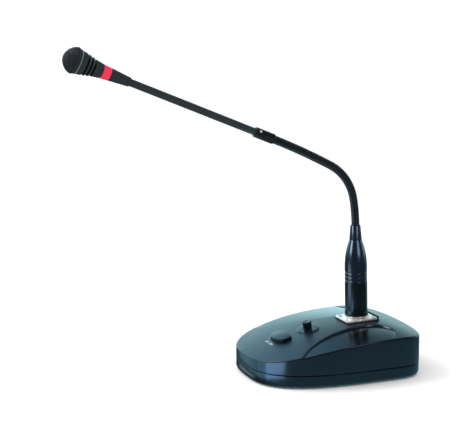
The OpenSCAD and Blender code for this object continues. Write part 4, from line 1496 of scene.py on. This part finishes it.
@dataclass(frozen=True)
class NeckLine:
    """The gooseneck's middle line, whose slope changes evenly between stations, in arcs."""

    root: float = 86.0
    stations: tuple[tuple[float, float], ...] = (
        (0.0, 1.8), (24.0, 10.5), (64.5, 62.5), (126.0, 68.0),
    )
    length: float = 126.0
    overrun: float = 10.0
    samples: int = 14601

    def slope(self, s: Array) -> Array:
        """The slope from upright at length s, in radians."""
        at, angle = zip(*self.stations)
        return np.radians(np.interp(s, at, angle))

    def point(self, s: Array) -> Array:
        """Points of the line: the root plus the sum of (-sin, cos) of the slope.

        Args:
            s: lengths (n,) from the root.

        Returns:
            The points (n, 3).
        """
        fine = np.linspace(-self.overrun, self.length + self.overrun, self.samples)
        slope = self.slope((fine[1:] + fine[:-1]) / 2)
        step = np.diff(fine)[:, None] * np.stack([-np.sin(slope), np.cos(slope)], axis=-1)
        line = np.concatenate([[[0.0, 0.0]], np.cumsum(step, axis=0)])
        start = SOCKET.put(np.array([0.0, 0.0, self.root]))[1:]
        y, z = (
            np.interp(s, fine, line[:, k]) - np.interp(0.0, fine, line[:, k]) + start[k]
            for k in (0, 1)
        )
        return xyz(np.zeros_like(y), y, z)

    def end(self) -> Placement:
        """The stem's frame, at the neck's end."""
        tip = self.point(np.array([self.length]))[0]
        return Placement(float(tip[1]), float(tip[2]), self.stations[-1][1])


@dataclass(frozen=True)
class Gooseneck:
    """The wound neck, in one piece per hinge, curved from the plug up to the stem."""

    line: NeckLine = NeckLine()
    radius: float = 3.75
    rib: float = 0.65
    pitch: float = 1.8
    hinges: int = 6
    sides: int = 32
    per_turn: int = 14
    lap: float = 1.5
    hold: float = 1.3

    def build(self) -> None:
        """Makes the pieces from the middle of one link to the middle of the next."""
        span = self.line.length / self.hinges
        for k in range(self.hinges):
            low = k * span - (self.lap if k == 0 else 0.0)
            high = (k + 1) * span + (self.lap if k == self.hinges - 1 else 0.0)
            piece = Form.grid(f"neck_wire_{k + 1}", self.coil(low, high))
            Look.neck_metal.value.on(piece)
            start, end = self.line.point(np.array([low + self.hold, high - self.hold])) * MM
            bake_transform(piece)
            last = [f"neck_link_{k + 2}"] if k == self.hinges - 1 else []
            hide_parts(f"neck_link_{k + 1}", *last)
            LOG.info("%s: %d faces", piece.name, len(piece.data.polygons))

    def coil(self, low: float, high: float) -> Array:
        """A wound skin between two lengths.

        r = R - rib + rib sqrt(1 - (2 f - 1)^2), with f the fraction of s / pitch - t / 2 pi, so
        that each rib is one turn of round wire.

        Args:
            low, high: the lengths from the neck's root.

        Returns:
            Points (rows, columns, 3).
        """
        rows = int(round((high - low) / self.pitch * self.per_turn)) + 1
        s, turn = np.linspace(low, high, rows)[:, None], angles(self.sides)
        phase = (s / self.pitch - turn / (2 * np.pi)) % 1.0
        round_wire = np.sqrt(np.maximum(1 - (2 * phase - 1) ** 2, 0.0))
        radius = self.radius - self.rib + self.rib * round_wire
        slope, across = self.line.slope(s), radius * np.sin(turn)
        offset = xyz(radius * np.cos(turn), across * np.cos(slope), across * np.sin(slope))
        return self.line.point(s[:, 0])[:, None] + offset


@dataclass(frozen=True)
class Stem(Assembly):
    """The ferrule, its sunk set screw and the stiff stem."""

    body: str = "head"
    line: NeckLine = NeckLine()
    ferrule_r: float = 4.5
    ferrule_l: float = 19.0
    bore: float = 3.8
    bore_deep: float = 3.0
    stem_r: float = 3.15
    stem_gap: float = 0.1
    end_bore_deep: float = 2.0
    stem_sunk: float = 6.0
    stem_end: float = 139.0
    stem_lap: float = 4.0
    stem_sides: int = 64
    screw_back: float = 4.0
    screw_turn: float = 30.0
    screw_r: float = 1.2
    screw_top: float = 4.25
    screw_low: float = 1.1
    hole_r: float = 1.45
    hole_depth: float = 0.75
    hole_zone: float = 2.0
    hole_rows: int = 41
    hole_ease: float = 0.2
    columns: int = 224
    key: float = 0.55
    key_depth: float = 0.5
    key_ease: float = 0.1
    screw_middle: float = 0.004
    screw_rows: int = 24
    screw_columns: int = 96

    def build(self) -> None:
        """Makes the three pieces."""
        place, metal = self.line.end(), "black_metal"
        ferrule = Form.grid("ferrule", place.put(self.ferrule()))
        self.keep(ferrule, Look.neck_metal, metal, "neck_ferrule")
        screw = Form.grid("set_screw", place.put(self.screw()))
        self.keep(screw, Look.zinc, "plain_steel", "ferrule_screw")
        low, high = self.ferrule_l - self.stem_sunk, self.stem_end + self.stem_lap
        line = np.array([[self.stem_r, low], [self.stem_r, high]])
        stem = Form.revolve("stem", line, place, self.stem_sides)
        # the stem's paler colour is a painted sheen
        self.keep(stem, Look.stem_metal, metal, "stem_tube")

    def ferrule(self) -> Array:
        """A turned sleeve with a round hole.

        The radius drops by the hole's depth where the hole's middle is nearer than its edge.

        Returns:
            Points (rows, columns, 3).
        """
        r, end, spot = self.ferrule_r, self.ferrule_l, self.ferrule_l - self.screw_back
        zone = np.linspace(spot - self.hole_zone, spot + self.hole_zone, self.hole_rows)
        inner = self.stem_r + self.stem_gap
        profile = rounded([
            (self.bore, self.bore_deep), (self.bore, 0.0, 0.2), (r, 0.0, 0.8),
            *((r, float(z)) for z in zone), (r, end, 0.6), (inner, end, 0.1),
            (inner, end - self.end_bore_deep),
        ], 8)
        turn = angles(self.columns)
        radius, height = profile[:, :1], profile[:, 1:]
        around = (turn - math.radians(self.screw_turn) + np.pi) % (2 * np.pi) - np.pi
        away = np.hypot(r * around, height - spot)
        inside = smoothstep((self.hole_r - away) / self.hole_ease)
        radius = radius - self.hole_depth * inside * (radius > r - 0.05)
        return about_z(radius, turn, height)

    def screw(self) -> Array:
        """A flat end with a six-sided key hole.

        h = top - depth where max |p . d_k| < key, for three ways d_k 60 degrees apart.

        Returns:
            Points (rows, columns, 3).
        """
        turn = angles(self.screw_columns)
        share = np.linspace(self.screw_middle, 1, self.screw_rows)
        reach = self.screw_r * np.append(share, 1.0)[:, None]
        along, aside = reach * np.cos(turn), reach * np.sin(turn)
        ways = np.radians([0.0, 60.0, 120.0])[:, None, None]
        across = np.abs(along * np.cos(ways) + aside * np.sin(ways)).max(axis=0)
        sunk = smoothstep((self.key - across) / self.key_ease)
        height = self.screw_top - self.key_depth * sunk
        height[-1] = self.ferrule_r - self.screw_low
        c, s = math.cos(math.radians(self.screw_turn)), math.sin(math.radians(self.screw_turn))
        spot = self.ferrule_l - self.screw_back
        return xyz(height * c - aside * s, height * s + aside * c, spot - along)


@dataclass(frozen=True)
class Head(Assembly):
    """The microphone's head: rear cone, light ring, ridged collar and woven grille."""

    body: str = "head"
    line: NeckLine = NeckLine()
    start: float = 139.0
    rear_r: float = 3.9
    stem_bore: float = 3.2
    lamp_bore: float = 3.4
    shell_l: float = 18.3
    shell_in: float = 0.05
    ring_rear_r: float = 5.5
    ring_front_r: float = 6.0
    ring_bore: float = 4.4
    ring_w: float = 6.8
    collar_bore: float = 4.6
    collar_end_bore: float = 9.0
    ridged_l: float = 20.4
    cone_l: float = 6.4
    cone_r: float = 7.1
    band_l: float = 4.8
    band_r: float = 9.4
    ridges: int = 3
    ridge_step: float = 3.3
    groove_w: float = 1.5
    groove_depth: float = 1.1
    rim_r: float = 10.0
    rim_bore: float = 9.3
    bead: float = 0.35
    bead_l: float = 0.8
    wide_r: float = 11.0
    flare_l: float = 3.5
    dome_l: float = 10.0
    dome_power: float = 1.75
    rib_start: float = 0.3
    ribs: int = 88
    rib_steps: int = 12
    hoop_start: float = 1.2
    hoops: int = 5
    hoop_steps: int = 97
    hoop_sunk: float = 0.7
    seam: float = 0.36
    seam_sides: int = 12
    gap: float = 0.05
    wire: float = 0.24
    weave: float = 0.8
    wire_steps: int = 96
    mesh_pitch: float = 0.75
    sides: int = 128

    def build(self) -> None:
        """Makes the pieces from the rear to the tip."""
        place = self.line.end().moved(0.0, self.start)
        shell = rounded([
            (self.stem_bore, 0.0), (self.rear_r, 0.0, 0.5),
            (self.ring_rear_r - self.shell_in, self.shell_l, 0.15), (self.lamp_bore, self.shell_l),
        ])
        cone = Form.revolve("rear_cone", shell, place)
        self.keep(cone, Look.moulded_black, "moulded_black", "head_shell")
        place = place.moved(0.0, self.shell_l + self.gap)
        ring = rounded([
            (self.lamp_bore, 0.0), (self.ring_rear_r, 0.0, 0.25),
            (self.ring_front_r, self.ring_w, 0.25), (self.ring_bore, self.ring_w),
        ])
        lens = Form.revolve("lit_ring", ring, place)
        self.keep(lens, Look.red_lens, "red_lens", "light_ring")
        place = place.moved(0.0, self.ring_w + self.gap)
        self.keep(self.collar(place), Look.ridged_black, "moulded_black", "head_collar")
        place = place.moved(0.0, self.ridged_l + self.gap)
        self.woven(place)
        self.flared(place)

    def outer(self, z: Array | float) -> Array:
        """The collar's outer radius at height z, without its grooves: straight between corners."""
        heights = (0.0, self.cone_l, self.ridged_l - self.band_l, self.ridged_l)
        return np.interp(z, heights, (self.ring_front_r, self.cone_r, self.band_r, self.rim_r))

    def collar(self, place: Placement) -> bpy.types.Object:
        """The collar: a plain cone, turned grooves that leave ridges, and a plain band.

        Args:
            place: the frame at its rear end.

        Returns:
            The collar, with its grooves marked for painted shade.
        """
        corners: list[Corner] = [
            (self.collar_bore, 0.0), (self.ring_front_r, 0.0, 0.2), (self.cone_r, self.cone_l, 0.5),
        ]
        deep = self.groove_depth
        for k in range(self.ridges):
            z1 = self.ridged_l - self.band_l - (self.ridges - 1 - k) * self.ridge_step
            z0 = z1 - self.groove_w
            r0, r1 = float(self.outer(z0)), float(self.outer(z1))
            corners += [
                (r0, z0 - 0.2, 0.25), (r0 - deep, z0 + 0.25, 0.2),
                (r1 - deep, z1 - 0.25, 0.2), (r1, z1 + 0.2, 0.25),
            ]
        corners += [(self.rim_r, self.ridged_l, 0.1), (self.collar_end_bore, self.ridged_l)]
        profile = rounded(corners)
        collar = Form.revolve("ridged_collar", profile, place, self.sides)
        sunk = self.outer(profile[:, 1]) - profile[:, 0]
        groove = (profile[:, 1] > self.cone_l) & (sunk < 1.2 * deep)
        # the groove mask tells the finish where to paint shade into the grooves
        Form.mark(collar, Ridged.MASK, np.repeat(smoothstep(sunk / deep) * groove, self.sides))
        return collar

    def dome(self, r: Array) -> Array:
        """The height of the dome over radius r: z = flare + H (1 - (r / R)^n)^(1 / n)."""
        share = np.minimum(r / self.wide_r, 1.0)
        return self.flare_l + self.dome_l * (1 - share ** self.dome_power) ** (1 / self.dome_power)

    def side(self, z: Array) -> Array:
        """The radius of the grille's flared side at height z."""
        return self.rim_r + (self.wide_r - self.rim_r) * z / self.flare_l

    def woven(self, place: Placement) -> None:
        """The grille's front: two sets of crossing wires pressed over the dome.

        A wire at offset c runs over q(u) = (u, c, dome(hypot(u, c)) + a cos(pi u / pitch + pi k)),
        so that neighbours pass over and under each other.

        Args:
            place: the frame at the grille's rim.
        """
        look, wire, pitch = (Look.grille_metal, "grille_metal"), self.wire, self.mesh_pitch
        count = int(self.wide_r / pitch)
        index = np.arange(-count, count + 1)[:, None]
        far = index * pitch
        reach = np.sqrt(self.wide_r ** 2 - far ** 2)
        run = reach * np.sin(np.linspace(-np.pi / 2, np.pi / 2, self.wire_steps))
        weave = self.weave * wire * np.cos(np.pi * run / pitch + np.pi * index)
        height = self.dome(np.hypot(run, far)) - wire
        warp = place.put(xyz(run, far, height + weave))
        weft = place.put(xyz(far, run, height - weave))
        self.keep(Form.tubes("grille_warp", warp, wire), *look, "grille_cap")
        self.keep(Form.tubes("grille_weft", weft, wire), *look)

    def flared(self, place: Placement) -> None:
        """The grille's side: ribs and hoops on a cone, the seam under the dome, and the rim.

        Args:
            place: the frame at the grille's rim.
        """
        look, wire = (Look.grille_metal, "grille_metal"), self.wire
        up = np.linspace(self.rib_start, self.flare_l, self.rib_steps)
        ribs = place.put(about_z(self.side(up) - wire, angles(self.ribs)[:, None], up))
        self.keep(Form.tubes("grille_ribs", ribs, wire), *look)
        level = np.linspace(self.hoop_start, self.flare_l, self.hoops)[:, None]
        loop = np.linspace(0, 2 * np.pi, self.hoop_steps)
        hoops = place.put(about_z(self.side(level) - self.hoop_sunk * wire, loop, level))
        self.keep(Form.tubes("grille_hoops", hoops, wire), *look)
        self.keep(Form.tubes("grille_seam", hoops[-1:], self.seam, self.seam_sides), *look)
        out = self.rim_r + self.bead
        bead = rounded([
            (self.rim_bore, 0.0), (out, 0.0, 0.25), (out, self.bead_l, 0.25),
            (self.rim_bore, self.bead_l + 0.2),
        ])
        # the rim bead wears a painted highlight
        rim = Form.revolve("grille_rim", bead, place, self.sides)
        self.keep(rim, Look.rim_metal, "grille_metal")


@dataclass(frozen=True)
class CadPieces:
    """Finishes for the CAD nodes that stay as they are."""

    def build(self) -> None:
        """Gives every node the finish of its material slot."""
        for part in frame["record"]["subparts"]:
            Look[part["material_slot"]].value.on(frame["nodes"][part["node"]])


@dataclass(frozen=True)
class Studio:
    """Camera, floor, world, cards and lamp.

    Args:
        target, azimuth, elevation, distance, lens: the camera.
        front, band, left_sky, right_sky: the light that reflections see, by direction.
        band_top, band_lift, sky_way, sky_turn, front_edge: where these meet.
        plain_light: the light that everything else sees.
        ground, patches: the floor in reflections; a patch is x0, x1, y0, y1 and its colour.
        cards: x0, y0, x1, y1, z0, z1 and the light of each card.
        key_spot, key_aim, key_size, key_watts: the lamp.
    """

    target: tuple[float, float, float] = (0.0, -120.27, 148.83)
    azimuth: float = 67.983
    elevation: float = 9.866
    distance: float = 1000.0
    lens: float = 88.57
    sensor: float = 36.0
    front: Colour = (0.03, 0.05, 0.06)
    band: Colour = (1.55, 2.55, 2.75)
    left_sky: Colour = (0.55, 1.22, 1.95)
    right_sky: Colour = (0.07, 0.15, 0.19)
    band_top: tuple[float, float] = (0.24, 0.34)
    band_lift: float = 0.12
    sky_way: float = 150.0
    sky_turn: tuple[float, float] = (152.0, 180.0)
    front_edge: tuple[float, float] = (-0.1, 0.5)
    plain_light: Colour = (1.1, 1.1, 1.1)
    floor_half: float = 4000.0
    floor_pale: Colour = (0.93, 0.93, 0.93)
    ground: Colour = (0.04, 0.09, 0.11)
    patch_edge: float = 12.0
    patches: tuple[tuple[float, float, float, float, Colour], ...] = (
        (-900.0, 0.0, 60.0, 900.0, (0.25, 0.5, 0.55)),
        (30.0, 200.0, -170.0, 160.0, (0.17, 0.43, 0.6)),
    )
    cards: tuple[tuple[float, float, float, float, float, float, Colour], ...] = (
        (32.0, -125.0, 80.0, -125.0, 0.3, 24.0, (2.3, 4.5, 7.5)),
        (14.0, -126.0, 32.0, -126.0, 0.3, 24.0, (0.7, 1.6, 2.6)),
        (-120.0, -128.0, 14.0, -128.0, 0.3, 28.0, (0.45, 1.0, 1.3)),
        (-30.0, -116.0, 14.0, -116.0, 0.3, 4.0, (0.7, 1.0, 1.2)),
        (-90.0, -210.0, 40.0, -210.0, 0.5, 60.0, (1.4, 2.3, 3.0)),
        (-17.0, -120.0, 25.0, -120.0, 112.0, 165.0, (8.5, 12.5, 17.5)),
        (120.0, -13.0, 120.0, 43.0, 112.0, 180.0, (3.6, 4.6, 6.6)),
    )
    key_spot: tuple[float, float, float] = (-300.0, -700.0, 900.0)
    key_aim: tuple[float, float, float] = (0.0, -60.0, 60.0)
    key_size: float = 500.0
    key_watts: float = 6.0

    def build(self) -> None:
        """Sets the stage."""
        bpy.context.scene.view_settings.view_transform = "Standard"
        self.camera()
        self.world()
        self.floor()
        for card in self.cards:
            self.card(*card)
        self.key()

    @staticmethod
    def aimed(name: str, data: bpy.types.ID, spot: Vector, way: Vector) -> bpy.types.Object:
        """Stands a camera or a lamp in the scene.

        Args:
            name: the object's name.
            data: the camera or the lamp.
            spot: where it stands, in millimetres.
            way: where it looks.

        Returns:
            The new object.
        """
        made = bpy.data.objects.new(name, data)
        made.location = spot * MM
        made.rotation_mode = "QUATERNION"
        made.rotation_quaternion = way.to_track_quat("-Z", "Y")
        bpy.context.scene.collection.objects.link(made)
        return made

    def camera(self) -> None:
        """The photograph's view."""
        a, e = math.radians(self.azimuth), math.radians(self.elevation)
        back = Vector((math.sin(a) * math.cos(e), -math.cos(a) * math.cos(e), math.sin(e)))
        data = bpy.data.cameras.new("camera")
        data.lens, data.sensor_width = self.lens, self.sensor
        spot = Vector(self.target) + back * self.distance
        bpy.context.scene.camera = self.aimed("camera", data, spot, -back)

    def key(self) -> None:
        """A soft square lamp from the front left."""
        data = bpy.data.lights.new("key", "AREA")
        data.size, data.energy = self.key_size * MM, self.key_watts
        spot = Vector(self.key_spot)
        self.aimed("key", data, spot, Vector(self.key_aim) - spot)

    def world(self) -> None:
        """White to the camera, a cool sky in reflections."""
        world = bpy.data.worlds.new("studio")
        world.use_nodes = True
        bpy.context.scene.world = world
        graph = Graph(world.node_tree)
        glossy = graph.value(graph.make("ShaderNodeLightPath"), "Is Glossy Ray")
        x, y, z = graph.split(graph.value(graph.make("ShaderNodeTexCoord"), "Generated"))
        flat = (x * x + y * y + TINY) ** 0.5

        def towards(azimuth: float) -> Value:
            """The cosine between a ray and a flat direction, in degrees from X."""
            angle = math.radians(azimuth)
            return (x * math.cos(angle) + y * math.sin(angle)) / flat

        start, end = (math.sin(math.radians(turn - self.sky_way)) for turn in self.sky_turn)
        left = towards(self.sky_way + 90.0).ramp(start, end)
        high = graph.mix(left, self.right_sky, self.left_sky)
        heaven = graph.mix((z - left * self.band_lift).ramp(*self.band_top), self.band, high)
        seen = graph.mix(towards(self.sky_way).ramp(*self.front_edge), self.front, heaven)
        colour = graph.mix(glossy, self.plain_light, seen)
        light = graph.make("ShaderNodeBackground", {"Color": colour})
        graph.make("ShaderNodeOutputWorld", {"Surface": light.outputs[0]})

    def floor(self) -> None:
        """A pale floor that keeps the shadow, and looks dim and cool in reflections."""
        corners = np.array([[-1, -1, 0], [1, -1, 0], [1, 1, 0], [-1, 1, 0]])
        floor = Form.mesh("floor", corners * self.floor_half, np.array([[0, 1, 2, 3]]))
        material, graph = Graph.of_material("floor")
        pale = graph.make("ShaderNodeBsdfDiffuse", {"Color": self.floor_pale})
        x, y, _ = graph.split(graph.place())
        tone: Colour | Value = self.ground
        for *sides, shade in self.patches:
            x0, x1, y0, y1 = (side * MM for side in sides)
            soft = self.patch_edge * MM
            inside = x.ramp(x0, x0 + soft) * x.ramp(x1, x1 - soft)
            inside = inside * y.ramp(y0, y0 + soft) * y.ramp(y1, y1 - soft)
            tone = graph.mix(inside, tone, shade)
        dim = graph.make("ShaderNodeBsdfPrincipled", {
            "Base Color": (0.0, 0.0, 0.0), "Specular IOR Level": 0.0,
            "Emission Color": tone, "Emission Strength": 1.0,
        })
        glossy = graph.value(graph.make("ShaderNodeLightPath"), "Is Glossy Ray")
        both = graph.shaders(glossy, pale, dim)
        graph.make("ShaderNodeOutputMaterial", {"Surface": both.outputs[0]})
        floor.data.materials.append(material)

    def card(
        self, x0: float, y0: float, x1: float, y1: float, z0: float, z1: float, tone: Colour
    ) -> None:
        """An upright glowing card near the base, which is seen in reflections alone.

        Args:
            x0, y0, x1, y1: where it starts and ends on the floor; it glows to the left of that way.
            z0, z1: its lower and upper side.
            tone: the light it gives off.
        """
        spots = np.array([[x0, y0, z0], [x0, y0, z1], [x1, y1, z1], [x1, y1, z0]])
        card = Form.mesh("card", spots, np.array([[0, 1, 2, 3]]))
        material, graph = Graph.of_material("card")
        glow = graph.make("ShaderNodeEmission", {"Color": tone})
        dark = graph.make("ShaderNodeEmission", {"Color": (0.0, 0.0, 0.0)})
        rear = graph.value(graph.make("ShaderNodeNewGeometry"), "Backfacing")
        both = graph.shaders(rear, glow, dark)
        graph.make("ShaderNodeOutputMaterial", {"Surface": both.outputs[0]})
        card.data.materials.append(material)
        card.visible_camera = card.visible_diffuse = card.visible_shadow = False


def main() -> None:
    """Builds every sub-assembly in order, then the studio."""
    logging.basicConfig(level=logging.INFO, format="%(name)s %(message)s")
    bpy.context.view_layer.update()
    CadPieces().build()
    for group in (
        Housing(), TalkButton(), VolumeKnob(), PanelSocket(), Latch(), Plug(), Gooseneck(), Stem(),
        Head(),
    ):
        LOG.info("building %s", type(group).__name__)
        group.build()
    Studio().build()


if __name__ == "__main__":
    main()
